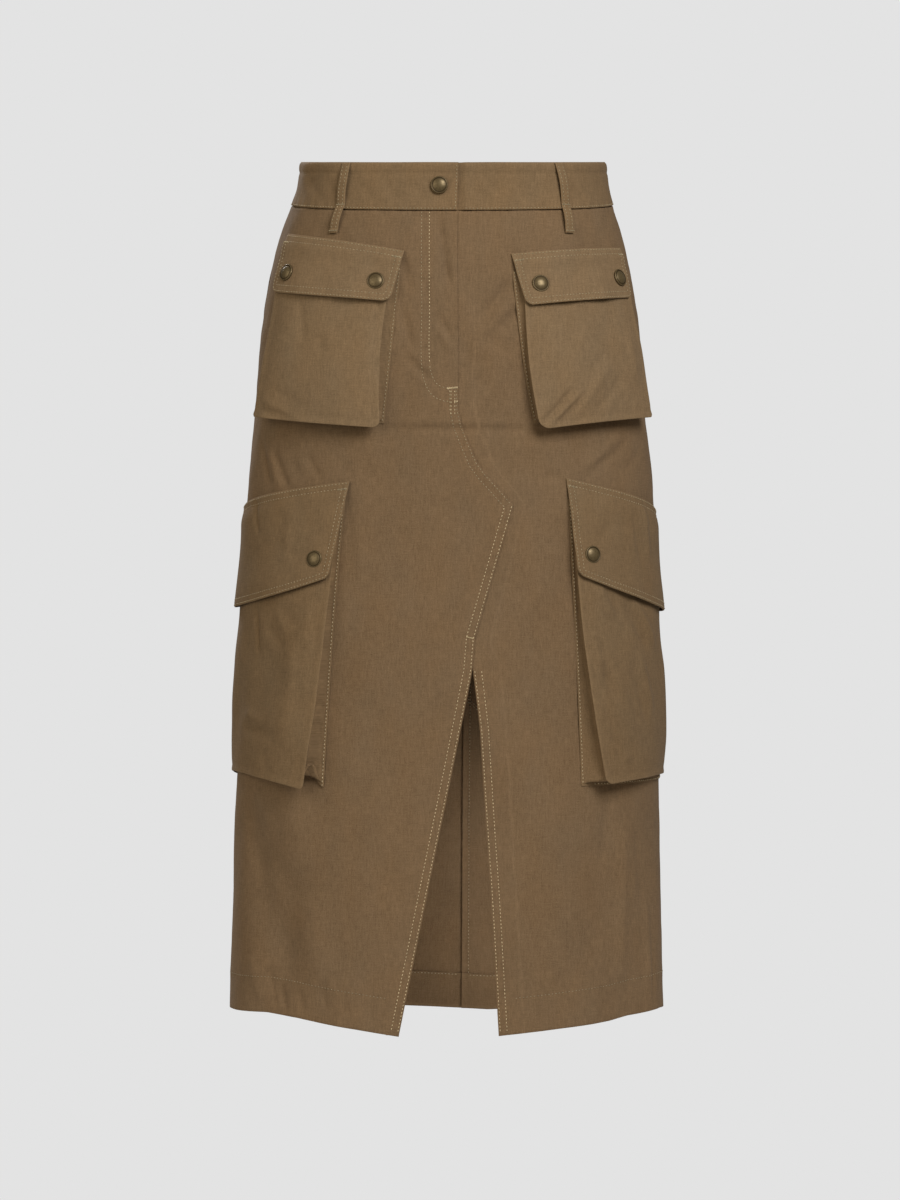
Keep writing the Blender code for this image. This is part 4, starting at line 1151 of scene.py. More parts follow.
def thicken(middle, flat, wall, rims=(1.0, 1.0, 1.0, 1.0), outward=None):
    """A patch of cloth about a grid of middle points."""
    facing = np.cross(np.gradient(middle, axis=0), np.gradient(middle, axis=1))
    facing = unit(facing)
    if outward is not None and np.sum(facing * outward) < 0:
        facing = -facing
    return shell(middle + facing * wall / 2, middle - facing * wall / 2, flat, rims)


def fixed(mesh, finish, slot):
    """An object of a mesh's own name, riding on the frame."""
    mesh.shade_smooth()
    mesh.materials.append(finish)
    thing = bpy.data.objects.new(mesh.name, mesh)
    bpy.context.scene.collection.objects.link(thing)
    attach(thing, BODY)
    return thing


def piece(name, patches, finish, slot, nodes):
    """One sewn piece from its patches, standing for nodes of the frame."""
    start = 0
    points = []
    faces = []
    places = []
    worn_and_lit = []
    for patch_points, patch_faces, patch_places, patch_worn_and_lit in patches:
        points.append(patch_points)
        faces.append(patch_faces + start)
        places.append(patch_places)
        worn_and_lit.append(patch_worn_and_lit)
        start += len(patch_points)
    points = np.vstack(points)
    faces = np.vstack(faces)
    mesh = bpy.data.meshes.new(name)
    mesh.from_pydata(points.tolist(), [], faces.tolist())
    layer = mesh.uv_layers.new(name="cloth")
    layer.uv.foreach_set("vector", np.vstack(places)[faces.ravel()].ravel())
    # Per-point mask of folded edges drawn lighter: partly wear, partly painted highlight.
    wear = mesh.attributes.new("wear", "FLOAT", "POINT")
    wear.data.foreach_set("value", np.concatenate(worn_and_lit))
    thing = fixed(mesh, finish, slot)
    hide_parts(*nodes)
    return thing


def spaced(length, fine, fine_length, coarse):
    """Shares of a length from 0 to 1, in fine steps at its start."""
    near = np.arange(0.0, fine_length, fine)
    far = np.linspace(fine_length, length, max(2, int((length - fine_length) / coarse)))
    return np.concatenate((near, far)) / length


# ======== body panels

BODY_ROWS = 276
BACK_ROWS = 220
FRONT_FINE = (0.0012, 0.014, 0.0027)  # step, reach and step beyond it
BACK_STEP = 0.0033
BACK_FINE = (0.0012, 0.022)  # step and reach beside the centre-back seam
TOP_ROWS = 14  # closer rows where a panel steps back behind the band
TOP_SHARE = 0.018  # share of a panel's height that they cover
TURN_UP_ROWS = 12
TURN_UP_COLUMNS = 90
STRIP = 0.24  # a front's columns are spaced over this width
FOLD_ROOM = 0.0009  # an allowance starts this far inside its fold
HEM_ROOM = 0.0012  # and ends this far above the hem
HEM_STOP = 0.0112  # the turned-up hem ends this far before the slit
ALLOWANCE = 0.0060  # panels run up behind the band this far
ALLOWANCE_DROP = 0.0023  # and lie this much deeper there
HELD_DEPTH = 0.0003  # relief that the band allows at its seam
HELD_SLOPE = 0.12  # deeper troughs for each metre below it
HELD_RISE = 0.25  # and higher ridges
TUCK = (0.0030, 0.0280)  # the tucked front comes out between these past the lap
SEAM_ALLOWANCE = 0.0070  # of a side seam, to each side of it
BACK_CURL = (0.0014, 0.0026)  # depth and reach of the curl at the left back's free edge
TUCK_FADE = 0.05  # the tuck dies away over this length below the slit's apex


def panel_places(rows, across_of):
    """Grid of a panel from the band's seam to the hem."""
    share = np.concatenate((np.linspace(0.0, TOP_SHARE, TOP_ROWS, endpoint=False),
                            np.linspace(TOP_SHARE, 1.0, rows - TOP_ROWS)))[:, None]
    height = BAND_SIDE_HEIGHT + (HEM[0][1] - BAND_SIDE_HEIGHT) * share
    for _ in range(5):
        across = across_of(height)
        top = band_seam(across[0]) + ALLOWANCE
        bottom = hem_height(across[-1])
        height = top + (bottom - top) * share
    return across_of(height), height


def turn_up(across, out_of):
    """Hem allowance, folded up on the inside."""
    share = np.linspace(0.0, 1.0, TURN_UP_ROWS)[:, None]
    height = hem_height(across) + FOLD_ROOM + (TURN_UP - FOLD_ROOM + EDGE_ROW) * share
    grid = np.broadcast_to(across, height.shape)
    out = out_of(grid, height) - CLOTH - GAP
    return lay(grid, height, out, CLOTH, rims=(1.0, 0.3, 1.0, 0.3))


def slit_facing(edge_table, toward, out_of, low):
    """Allowance folded in along one side of the slit."""
    share = np.linspace(0.0, 1.0, 5)[None, :]
    height = np.linspace(SLIT_TOP, low, 130)[:, None]
    edge = through(edge_table, height)
    girth = edge + toward * (FOLD_ROOM + SLIT_FACING * share)
    across = across_at(girth, height)
    height = np.broadcast_to(height, across.shape)
    return lay(across, height, out_of(across, height) - CLOTH - GAP, CLOTH)


def front_right_patches():
    side = -1.0 + GAP / 2 / FRONT_LENGTH
    step, reach, beyond = FRONT_FINE
    shares = 1.0 - spaced(STRIP, step, reach, beyond)[::-1]

    def across_of(height):
        edge = across_at(through(RIGHT_FRONT_EDGE, height), height)
        return side + (edge - side) * shares

    across, height = panel_places(BODY_ROWS, across_of)
    body = lay(across, height, front_out(across, height), CLOTH, rims=(0.3, 0.5, 0.5, 0.4))
    low = hem_low(RIGHT_CORNER, HEM_ROOM)
    start = float(across_at(through(RIGHT_FRONT_EDGE, low) - HEM_STOP, low))
    hem = turn_up(np.linspace(side, start, TURN_UP_COLUMNS), front_out)
    facing = slit_facing(RIGHT_FRONT_EDGE, -1.0, front_out, low)
    return [body, hem, facing]


def left_tuck(across, height):
    """How far the left front is tucked under the right one, 1 to 0."""
    reach = girth_at(across, height) - through(RIGHT_FRONT_EDGE, height)
    tucked = 1.0 - ease((reach - TUCK[0]) / (TUCK[1] - TUCK[0]))
    return tucked * (1.0 - ease((SLIT_TOP - height) / TUCK_FADE))


def left_out(across, height):
    return front_out(across, height) - (CLOTH + GAP) * left_tuck(across, height)


def front_left_patches():
    side = 1.0 - GAP / 2 / FRONT_LENGTH
    step, reach, beyond = FRONT_FINE
    shares = spaced(STRIP, step, reach + LAP, beyond)

    def across_of(height):
        lap_line = through(RIGHT_FRONT_EDGE, height)
        slit_line = through(LEFT_SLIT_EDGE, height)
        open_share = ease((TACK_HEIGHT - height) / (TACK_HEIGHT - SLIT_TOP))
        free_edge = (lap_line - LAP) + (slit_line - lap_line + LAP) * open_share
        edge = across_at(free_edge, height)
        return edge + (side - edge) * shares

    across, height = panel_places(BODY_ROWS, across_of)
    body = lay(across, height, left_out(across, height), CLOTH, rims=(0.3, 0.4, 0.5, 0.5))
    low = hem_low(LEFT_CORNER, HEM_ROOM)
    start = float(across_at(through(LEFT_SLIT_EDGE, low) + HEM_STOP, low))
    hem = turn_up(np.linspace(start, side, TURN_UP_COLUMNS), left_out)
    facing = slit_facing(LEFT_SLIT_EDGE, 1.0, left_out, low)
    return [body, hem, facing]


def back_left_out(across, height):
    """The left back, tucked under the right one, its free edge curled in."""
    reach = (CENTRE_BACK_SEAM - across) * BACK_LENGTH
    tucked = 1.0 - ease((reach - TUCK[0]) / (TUCK[1] - TUCK[0]))
    beyond = (across - CENTRE_BACK_SEAM) * BACK_LENGTH - CENTRE_BACK_LAP
    curl = BACK_CURL[0] * bump(beyond / BACK_CURL[1])
    return back_out(across, height) - (CLOTH + GAP) * tucked - curl


def seam_allowance(side):
    """The side seam's allowance, pressed open behind both panels."""
    share = np.linspace(0.0, 1.0, 160)[:, None]
    top = float(band_seam(side)) + ALLOWANCE - 0.001
    low = hem_low(side, HEM_ROOM)
    height = top + (low - top) * share
    girth = girth_at(np.full(height.shape, side), height)
    girth = girth + SEAM_ALLOWANCE * np.linspace(-1.0, 1.0, 7)[None, :]
    across = across_at(girth, height)
    height = np.broadcast_to(height, across.shape)
    out = np.minimum(front_out(across, height), back_out(across, height))
    behind_hem = ease((hem_height(side) + TURN_UP + 0.006 - height) / 0.004)
    out = out - CLOTH - SEAT - (CLOTH + SEAT) * behind_hem
    return lay(across, height, out, CLOTH, rims=(1.0, 0.4, 1.0, 0.4))


def back_right_patches():
    side = -1.0 - GAP / 2 / BACK_LENGTH
    columns = np.linspace(side, CENTRE_BACK_SEAM - 4.0, int(BACK_LENGTH / BACK_STEP))
    across, height = panel_places(BACK_ROWS, lambda grid: columns + 0.0 * grid)
    body = lay(across, height, back_out(across, height), CLOTH, rims=(0.3, 0.5, 0.5, 0.4))
    return [body, turn_up(columns, back_out), seam_allowance(-1.0)]


def back_left_patches():
    side = 1.0 + GAP / 2 / BACK_LENGTH
    shares = spaced(BACK_LENGTH, *BACK_FINE, BACK_STEP)
    edge = CENTRE_BACK_SEAM + CENTRE_BACK_LAP / BACK_LENGTH
    columns = edge + (side - edge) * shares
    across, height = panel_places(BACK_ROWS, lambda grid: columns + 0.0 * grid)
    body = lay(across, height, back_left_out(across, height), CLOTH,
               rims=(0.3, 0.4, 0.5, 0.5))
    return [body, turn_up(columns, back_left_out), seam_allowance(1.0)]


# ======== waistband

BAND_STEP = 0.0016
BAND_ROWS = 30
BAND_ROLLS = (
    # below the top edge, width, rise
    (0.0040, 0.0040, 0.0005),
    (0.0098, 0.0014, -0.0005),
    (0.0000, 0.0014, -0.0005),
)
BAND_GATHERS = (0.0125, 1.9, 47.0)  # wave, sway and turn
BAND_LEAN = (0.0210, 2.0, 31.0)
BAND_WAVES = 0.0005
BAND_TUCK = (0.0008, 0.0070)


def band_relief(across, height):
    """The band's rolled top, the trough under it and its gathered seam."""
    down = waist_top(across) - height
    up = height - band_seam(across)
    girth = girth_at(across, height)
    total = rolls(down, BAND_ROLLS) + rolls(up, ((EDGE_ROW, 0.0008, -CHANNEL_DEPTH),))
    total += 0.00030 * gathers(girth, girth, *BAND_GATHERS) * bump(up / 0.0075)
    lean = gathers(girth + 0.9 * height, girth, *BAND_LEAN)
    total += 0.00028 * lean * bump((up - 0.016) / 0.013)
    waves = BAND_WAVES * ripple(girth, height, 37, 0.055, 0.060)
    return total + waves * ease((up + 0.002) / 0.016)


def band_out(across, height):
    return BAND_PROUD + band_relief(across, height)


def band_patch(columns, tuck_of, rims):
    share = np.linspace(0.0, 1.0, BAND_ROWS)[:, None]
    top = waist_top(columns)
    height = top + (band_seam(columns) - top) * share
    across = np.broadcast_to(columns, height.shape)
    out = band_out(across, height) - (BAND_CLOTH + GAP) * tuck_of(columns)
    return lay(across, height, out, BAND_CLOTH, rims=rims)


def band_lap():
    """Across of the band's right end."""
    return float(across_at(RIGHT_FRONT_EDGE[0][1], 0.0))


def band_right_patches():
    quarter = float(quarter_length(0.0))
    back_gap = GAP / 2 / quarter
    count = int(2 * quarter / BAND_STEP)
    columns = np.linspace(band_lap(), -2.0 + back_gap, count)
    return [band_patch(columns, np.zeros_like, (0.8, 0.4, 0.5, 0.5))]


def band_left_patches():
    quarter = float(quarter_length(0.0))
    lap = band_lap()
    columns = np.linspace(lap - BAND_LAP / quarter, 2.0 - GAP / 2 / quarter,
                          int((2 * quarter + BAND_LAP) / BAND_STEP))

    def tuck_of(across):
        reach = (across - lap) * quarter
        return 1.0 - ease((reach - BAND_TUCK[0]) / (BAND_TUCK[1] - BAND_TUCK[0]))

    return [band_patch(columns, tuck_of, (0.8, 0.4, 0.5, 1.0))]


# ======== belt loops

LOOP_ROWS = 90
LOOP_COLUMNS = 13
LOOP_ROW_INSET = 0.0021
LOOP_TURN = 0.0040  # folded end
LOOP_ENDS = (0.60, 0.965)  # shares down the strip of its bar tacks


def loop_line(name):
    """Across of a loop's middle for shares down it, and its heights."""
    shares = np.linspace(0.0, 1.0, LOOP_ROWS)
    for loop, top, seam, end in FRONT_LOOPS:
        if loop == name:
            high = float(waist_top(across_at(top, WAIST_SIDE_HEIGHT)))
            girth = np.interp(shares, (0.0, LOOP_SEAM_SHARE, 1.0), (top, seam, end))
            middle = across_at(girth, high - shares * LOOP_LENGTH)
    for loop, across in BACK_LOOPS:
        if loop == name:
            middle = np.full(shares.shape, across)
    return shares, middle, waist_top(middle) - LOOP_DROP - shares * LOOP_LENGTH


def loop_out(shares, side):
    """Outer face of a loop down and across it, side being -1 to 1."""
    rows = np.array(LOOP_PROFILE)
    stand = curve_through(rows[:, 0], rows[:, 1], shares)
    inset = LOOP_WIDTH / 2 * (1 - np.abs(side))
    relief = -0.00018 * bump((inset - LOOP_ROW_INSET) / 0.0006) - 0.00025 * np.abs(side) ** 4
    end = (1 - shares) * LOOP_LENGTH
    relief = relief + 0.0006 * ease((LOOP_TURN - end) / 0.0010)
    for share in LOOP_ENDS:
        relief = relief - 0.0003 * bump((shares - share) * LOOP_LENGTH / 0.0013)
    return stand + 0.0014 + relief


def loop_patches(name):
    shares, middle, height = loop_line(name)
    side = np.linspace(-1.0, 1.0, LOOP_COLUMNS)[None, :]
    half = (LOOP_WIDTH / 2 / quarter_length(height))[:, None]
    across = middle[:, None] + half * side
    height = np.broadcast_to(height[:, None], across.shape)
    return [lay(across, height, loop_out(shares[:, None], side), LOOP_CLOTH)]


# ======== pockets

def bowed(start, end, count, across_bow=0.0, height_bow=0.0):
    """Places along an edge between two corners, bowed at its middle."""
    t = np.linspace(0.0, 1.0, count)
    rise = 4.0 * t * (1.0 - t)
    across = start[0] + (end[0] - start[0]) * t + across_bow * rise
    height = start[1] + (end[1] - start[1]) * t + height_bow * rise
    return np.stack((across, height), axis=1)


def stand_off(pocket, across, height):
    """Height of the underside of a pocket's face above the skirt surface."""
    stand = pocket["stand"]
    inner_top, inner_bottom, outer_bottom, outer_top = pocket["base"]
    across_share = (across - inner_bottom[0]) / (outer_bottom[0] - inner_bottom[0])
    across_share = np.clip(across_share, 0.0, 1.0)
    top = inner_top[1] + (outer_top[1] - inner_top[1]) * across_share
    bottom = inner_bottom[1] + (outer_bottom[1] - inner_bottom[1]) * across_share
    down = np.clip((top - height) / (top - bottom), 0.0, FACE_OVERHANG)
    to_side = ease(across_share / stand["side_at"])
    to_outer = ease((across_share - stand["side_at"]) / (1.0 - stand["side_at"]))
    full = stand["inner"] + (stand["side"] - stand["inner"]) * to_side
    full = full + (stand["outer"] - stand["side"]) * to_outer
    grow = down ** (INNER_LAG + (stand["side_lag"] - INNER_LAG) * to_side)
    belly = np.sin(math.pi * np.clip(down, 0.0, 1.0) ** PUFF_LAG)
    puff = stand["puff"] * np.sin(math.pi * across_share) * belly
    return stand["mouth"] + (full - stand["mouth"]) * grow + puff


def rounded(u, v, radii_u, radii_v):
    """Shares over a patch, its two lower corners drawn in to arcs."""
    for k, left in enumerate((True, False)):
        across = u if left else 1.0 - u
        p = np.clip((radii_u[k] - across) / radii_u[k], 0.0, 1.0)
        q = np.clip((v - 1.0 + radii_v[k]) / radii_v[k], 0.0, 1.0)
        moved_p = p * np.sqrt(1.0 - q * q / 2.0)
        moved_q = q * np.sqrt(1.0 - p * p / 2.0)
        across = across + (p - moved_p) * radii_u[k]
        v = v - (q - moved_q) * radii_v[k]
        u = across if left else 1.0 - across
    return u, v


def pocket_face_places(pocket, rows, columns):
    """Grid of a pocket's face, filled in between its four bowed edges."""
    inner_bow, bottom_bow, outer_bow = pocket["face_bow"]
    inner_top, inner_bottom, outer_bottom, outer_top = pocket["face"]
    u, v = np.meshgrid(np.linspace(0.0, 1.0, columns), np.linspace(0.0, 1.0, rows))
    wide = abs(outer_bottom[0] - inner_bottom[0]) * float(quarter_length(inner_bottom[1]))
    tall = inner_top[1] - inner_bottom[1]
    radii = np.array(pocket["face_round"])
    u, v = rounded(u, v, radii / wide, radii / tall)
    inner_top, inner_bottom, outer_bottom, outer_top = map(np.array, pocket["face"])
    u = u[..., None]
    v = v[..., None]
    rise_u = 4 * u * (1 - u)
    rise_v = 4 * v * (1 - v)
    inner = inner_top + (inner_bottom - inner_top) * v + rise_v * (inner_bow, 0.0)
    outer = outer_top + (outer_bottom - outer_top) * v + rise_v * (outer_bow, 0.0)
    grid = inner + (outer - inner) * u + rise_u * v * (0.0, bottom_bow)
    return grid[..., 0], grid[..., 1]


def face_relief(pocket, across, height):
    """Creases, pressed edges and soft waves of a pocket's face."""
    flat = on_cloth(across, height)
    seed = 41 + round(1000 * pocket["base"][0][0] ** 2)
    waves = FACE_WAVES * ripple(flat[..., 0], height, seed, 0.050, 0.075)
    total = creased(pocket["creases"], across, height) + waves
    for end in (flat[:, -1:], flat[-1:], flat[:, :1]):
        total = total + rolls(np.linalg.norm(flat - end, axis=2), FACE_EDGE)
    return total


FACE_STEPS = {"upper": 0.0018, "lower": 0.0022}


def face_grid(key):
    """Places of a pocket's face and its outer offset."""
    pocket = POCKETS[key]
    step = FACE_STEPS[key.split("_")[0]]
    inner_top, inner_bottom, outer_bottom, _ = pocket["face"]
    wide = abs(outer_bottom[0] - inner_bottom[0]) * float(quarter_length(inner_bottom[1]))
    rows = int((inner_top[1] - inner_bottom[1]) / step)
    columns = int(wide / step)
    across, height = pocket_face_places(pocket, rows, columns)
    out = stand_off(pocket, across, height) + FACE_RISE
    return across, height, out + face_relief(pocket, across, height)


def face_patches(key):
    across, height, out = face_grid(key)
    return [lay(across, height, out, CLOTH)]


def smoothed(values, window):
    """Running average along the first axis, its ends held."""
    pad = window // 2
    padded = np.concatenate((np.repeat(values[:1], pad, axis=0), values,
                             np.repeat(values[-1:], pad, axis=0)))
    kernel = np.ones(2 * pad + 1) / (2 * pad + 1)
    return np.stack([np.convolve(padded[:, k], kernel, mode="valid")
                     for k in range(values.shape[1])], axis=1)


def inward(outline, window):
    """Unit steps from an outline in metres towards its inside, turned gently."""
    along = np.gradient(outline, axis=0)
    normals = np.stack((-along[:, 1], along[:, 0]), axis=1)
    normals = unit(smoothed(unit(normals), window))
    middle = len(outline) // 2
    if np.sum(normals[middle] * (outline.mean(axis=0) - outline[middle])) < 0:
        normals = -normals
    return normals


GUSSET_PROFILE_STEPS = 15
GUSSET_TURN_WINDOW = 11
NOTCH_REACH = 0.014  # beside a corner, the sewn lower edge climbs over this length


def base_outline(pocket, rows, columns):
    """Places along a gusset's sewn edge: inner side, bottom, outer side."""
    inner_bow, bottom_bow, outer_bow = pocket["base_bow"]
    inner_top, inner_bottom, outer_bottom, outer_top = pocket["base"]
    bottom = bowed(inner_bottom, outer_bottom, columns, height_bow=bottom_bow)
    run = np.linspace(0.0, 1.0, columns) * abs(outer_bottom[0] - inner_bottom[0])
    run = run * float(quarter_length(inner_bottom[1]))
    bottom[:, 1] += pocket["notch"] * ease(run / NOTCH_REACH) * ease(
        (run[-1] - run) / NOTCH_REACH)
    return np.vstack((bowed(inner_top, inner_bottom, rows, across_bow=inner_bow), bottom[1:],
                      bowed(outer_bottom, outer_top, rows, across_bow=outer_bow)[1:]))


def gusset_patches(key):
    """The bellows strip: sewn edge, in-fold and the rim under the face's edge."""
    pocket = POCKETS[key]
    across, height, out = face_grid(key)
    rows, columns = across.shape
    face = np.stack((across, height), axis=-1)
    rim = np.vstack((face[:, 0], face[-1, 1:], face[-2::-1, -1]))
    rim_out = np.concatenate((out[:, 0], out[-1, 1:], out[-2::-1, -1]))
    inner_bottom = pocket["base"][1]
    base = base_outline(pocket, rows, columns)
    scale = np.array((float(quarter_length(base[:, 1].mean())), 1.0))
    base = base * scale
    rim = rim * scale
    base_in = inward(base, GUSSET_TURN_WINDOW)
    rim_in = inward(rim, GUSSET_TURN_WINDOW)
    rim = rim + rim_in * 0.0007
    rim_out = rim_out - CLOTH - GAP - CLOTH / 2
    depth = rim_out - SEAT
    corner = inner_bottom * scale
    near = bump(np.linalg.norm(base - corner, axis=1) / CORNER_FOLD_REACH)
    fold = (GUSSET_FOLD * depth * (1.0 + pocket["corner_fold"] * near))[:, None]
    turn = np.arange(len(base))[:, None] * 0.7
    fold = fold * (1.0 + 0.10 * np.sin(turn * 0.33) + 0.07 * np.sin(turn * 0.81 + 1.0))
    flange_out = SEAT + CLOTH / 2
    lines = (
        (base, np.full(len(base), flange_out)),
        (base + base_in * GUSSET_FLANGE, np.full(len(base), flange_out + 0.0002)),
        ((base + rim) / 2 + base_in * (fold + GUSSET_FLANGE / 2),
         flange_out + 0.46 * (rim_out - flange_out)),
        (rim + rim_in * 0.0010, flange_out + 0.88 * (rim_out - flange_out)),
        (rim, rim_out),
    )
    knots = np.array((0.0, 0.14, 0.55, 0.92, 1.0))
    steps = np.linspace(0.0, 1.0, GUSSET_PROFILE_STEPS)
    spots = np.stack([line[0] for line in lines])
    outs = np.stack([line[1] for line in lines])
    grid = np.stack([[curve_through(knots, spots[:, n, k], steps) for k in range(2)]
                     for n in range(len(base))])
    grid_out = np.stack([curve_through(knots, outs[:, n], steps) for n in range(len(base))])
    grid_across = grid[:, 0] / scale[0]
    grid_height = grid[:, 1]
    middle = place(grid_across, grid_height, np.maximum(grid_out, flange_out))
    inside = place(*(face[rows // 2, columns // 2]), 0.004)
    flat = np.stack((grid[:, 0] + grid_out, grid_height), axis=-1)
    return [thicken(middle, flat, CLOTH, rims=(0.5, 0.3, 0.5, 1.0),
                    outward=middle - inside)]


def parabola(points, across):
    """Height of the parabola through three (across, height) places."""
    return np.polyval(np.polyfit(*zip(*points), 2), across)


def flap_base_out(pocket, across, height):
    """Outer face of a flap before its waves, above the skirt surface."""
    top = parabola(pocket["flap_top"], across)
    bottom = parabola(pocket["flap_bottom"], across)
    down = (top - height) / (top - bottom)
    lift = ease(down / FLAP_LIFT)
    over_face = stand_off(pocket, across, height) + FACE_RISE + SEAT
    return SEAT + (over_face - SEAT) * lift + FLAP_RISE_OUT


FLAP_STEP = 0.0016


def flap_shape(key):
    """Shares, places and size of a flap's grid."""
    pocket = POCKETS[key]
    inner, _, outer = pocket["flap_top"]
    scale = float(quarter_length(inner[1]))
    wide = abs(outer[0] - inner[0]) * scale
    tall = inner[1] - pocket["flap_bottom"][0][1]
    u, v = np.meshgrid(np.linspace(0.0, 1.0, int(wide / FLAP_STEP)),
                       np.linspace(0.0, 1.0, int(tall / FLAP_STEP)))
    radii = np.array(pocket["flap_round"])
    u, v = rounded(u, v, radii / wide, radii / tall)
    return u, v, wide, tall


def flap_places(pocket, u, v):
    """Across and height on a flap for shares along and down it."""
    top_across = pocket["flap_top"][0][0] + (pocket["flap_top"][2][0]
                                             - pocket["flap_top"][0][0]) * u
    low_across = pocket["flap_bottom"][0][0] + (pocket["flap_bottom"][2][0]
                                                - pocket["flap_bottom"][0][0]) * u
    top = parabola(pocket["flap_top"], top_across)
    low = parabola(pocket["flap_bottom"], low_across)
    return top_across + (low_across - top_across) * v, top + (low - top) * v


def flap_relief(key, across, height, u, v, wide, tall):
    """Border rows, the sewn top, waves of the lower edge and snap dimples."""
    pocket = POCKETS[key]
    girth = girth_at(across, height)
    down = v * tall
    total = 0.00020 * ripple(girth, height, 61, 0.045, 0.050)
    total = total + creased(pocket["flap_creases"], across, height)
    for middle, half, rise in pocket["waves"]:
        total = total + rise * bump((u - middle) / half) * ease((v - 0.25) / 0.75)
    near = 1.0 - 0.8 * ease((u - 0.55) / 0.35)
    total = total + FLAP_KICK * ease((v - 0.45) / 0.55) * near
    border = np.minimum(np.minimum(u, 1.0 - u) * wide, (1.0 - v) * tall)
    total += rolls(border, FLAP_EDGE) + rolls(down, FLAP_TOP)
    total += 0.00014 * gathers(girth, girth, *FLAP_GATHERS) * (
        bump((down - FLAP_ROW) / 0.0040) + bump((border - FLAP_ROW) / 0.0035))
    for _, snap_girth, snap_height, carrier in SNAPS:
        if carrier == key:
            away = np.hypot(girth - snap_girth, height - snap_height)
            total = total - SNAP_DIMPLE * bump(away / SNAP_DIMPLE_REACH)
    return total


def flap_out(key, across, height, u, v, wide, tall):
    return (flap_base_out(POCKETS[key], across, height)
            + flap_relief(key, across, height, u, v, wide, tall))


def flap_patches(key):
    u, v, wide, tall = flap_shape(key)
    across, height = flap_places(POCKETS[key], u, v)
    out = flap_out(key, across, height, u, v, wide, tall)
    return [lay(across, height, out, FLAP_CLOTH)]


# ======== snaps

def carrier_outer(carrier, across, height):
    """Outer face of the piece that a snap sits on, above the skirt surface."""
    if carrier == "waistband":
        return np.full(np.shape(across), BAND_PROUD)
    return flap_base_out(POCKETS[carrier], across, height)


def snap_frame(girth, height, carrier):
    """Seat and facing of a snap: a matrix whose Z points off the cloth."""
    across = float(across_at(girth, height))
    wide = SNAP_REACH / float(quarter_length(height))

    def point(a, h):
        a = np.asarray(a)
        return place(a, h, carrier_outer(carrier, a, np.asarray(h)))

    seat = Vector(point(across, height))
    right = Vector(point(across + wide, height) - point(across - wide, height))
    up = Vector(point(across, height + SNAP_REACH) - point(across, height - SNAP_REACH))
    facing = right.cross(up).normalized()
    right.normalize()
    up = facing.cross(right)
    seat_frame = Matrix((right, up, facing)).transposed().to_4x4()
    seat_frame.translation = seat + facing * SNAP_SEAT
    return seat_frame


def snap_mesh():
    """Turned cap: rounded ring edge, groove and domed face."""
    mesh = bmesh.new()
    rings = []
    for radius, rise in SNAP_PROFILE:
        ring = []
        for k in range(SNAP_SEGMENTS):
            angle = 2 * math.pi * k / SNAP_SEGMENTS
            ring.append(mesh.verts.new((radius * math.cos(angle),
                                        radius * math.sin(angle), rise)))
        rings.append(ring)
    for low, high in zip(rings[:-1], rings[1:]):
        for k in range(SNAP_SEGMENTS):
            n = (k + 1) % SNAP_SEGMENTS
            mesh.faces.new((low[k], low[n], high[n], high[k]))
    mesh.faces.new(list(reversed(rings[0])))
    crown = mesh.verts.new((0.0, 0.0, SNAP_CROWN))
    for k in range(SNAP_SEGMENTS):
        mesh.faces.new((rings[-1][k], rings[-1][(k + 1) % SNAP_SEGMENTS], crown))
    made = bpy.data.meshes.new("snap_cap")
    mesh.to_mesh(made)
    mesh.free()
    made.shade_smooth()
    return made


# ======== stitches

STITCH_SIDES = 4
TRACK_STEP = 0.0008  # a row follows the cloth in these steps
BAR_STEP = 0.0003
BAR_PITCH = 1.15  # between a bar's stitches, in threads
ROW_LIFT = 0.2  # a row lies this far off the cloth, in threads
BAR_LIFT = 0.35
HEM_TONAL = 0.40  # deeper still along the front hem
TONAL = 0.54  # the deeper thread of the flaps, band, backs and hems
STITCH_RINGS = (
    # share along, size, rise in thread radii
    (0.00, 0.35, -0.6),
    (0.24, 1.00, 0.4),
    (0.76, 1.00, 0.4),
    (1.00, 0.35, -0.6),
)


def spindles(starts, ends, facing, radius):
    """Thread showing between pairs of needle holes, as one mesh."""
    starts = np.asarray(starts)
    ends = np.asarray(ends)
    length = np.linalg.norm(ends - starts, axis=1, keepdims=True)
    along = (ends - starts) / length
    side = unit(np.cross(along, facing))
    up = np.cross(side, along)
    turns = np.arange(STITCH_SIDES) * 2 * math.pi / STITCH_SIDES
    rings = []
    for share, size, rise in STITCH_RINGS:
        centre = starts + along * length * share + up * radius * rise
        ring = (centre[:, None] + radius * size * (
            side[:, None] * np.cos(turns)[None, :, None]
            + up[:, None] * np.sin(turns)[None, :, None]))
        rings.append(ring)
    points = np.stack(rings, axis=1)
    index = np.arange(points[..., 0].size).reshape(points.shape[:3])
    faces = []
    for k in range(len(STITCH_RINGS) - 1):
        low = index[:, k]
        high = index[:, k + 1]
        faces.append(np.stack((low, high, np.roll(high, -1, axis=1),
                               np.roll(low, -1, axis=1)), axis=-1).reshape(-1, 4))
    faces = np.vstack(faces).tolist()
    faces += index[:, 0].tolist()
    faces += index[:, -1, ::-1].tolist()
    return points.reshape(-1, 3), faces


def surface_track(path, out_of, inside=False, step=TRACK_STEP):
    """World points and facings along a (girth, height) path on a piece."""
    path = np.asarray(path, float)
    run = run_along(path)
    girth, height = read_along(np.arange(0.0, run[-1], step), run, path).T
    across = across_at(girth, height)
    points, facing = faced(across, height, out_of(across, height))
    return (points, -facing) if inside else (points, facing)


def row_of_stitches(points, facing, sewing):
    """Starts, ends and facings of even stitches along a track."""
    run = run_along(points)
    begins = np.arange(sewing.space / 2, run[-1] - sewing.stitch,
                       sewing.stitch + sewing.space)
    points = points + facing * (sewing.thickness * ROW_LIFT)
    return (read_along(begins, run, points),
            read_along(begins + sewing.stitch, run, points),
            read_along(begins, run, facing))


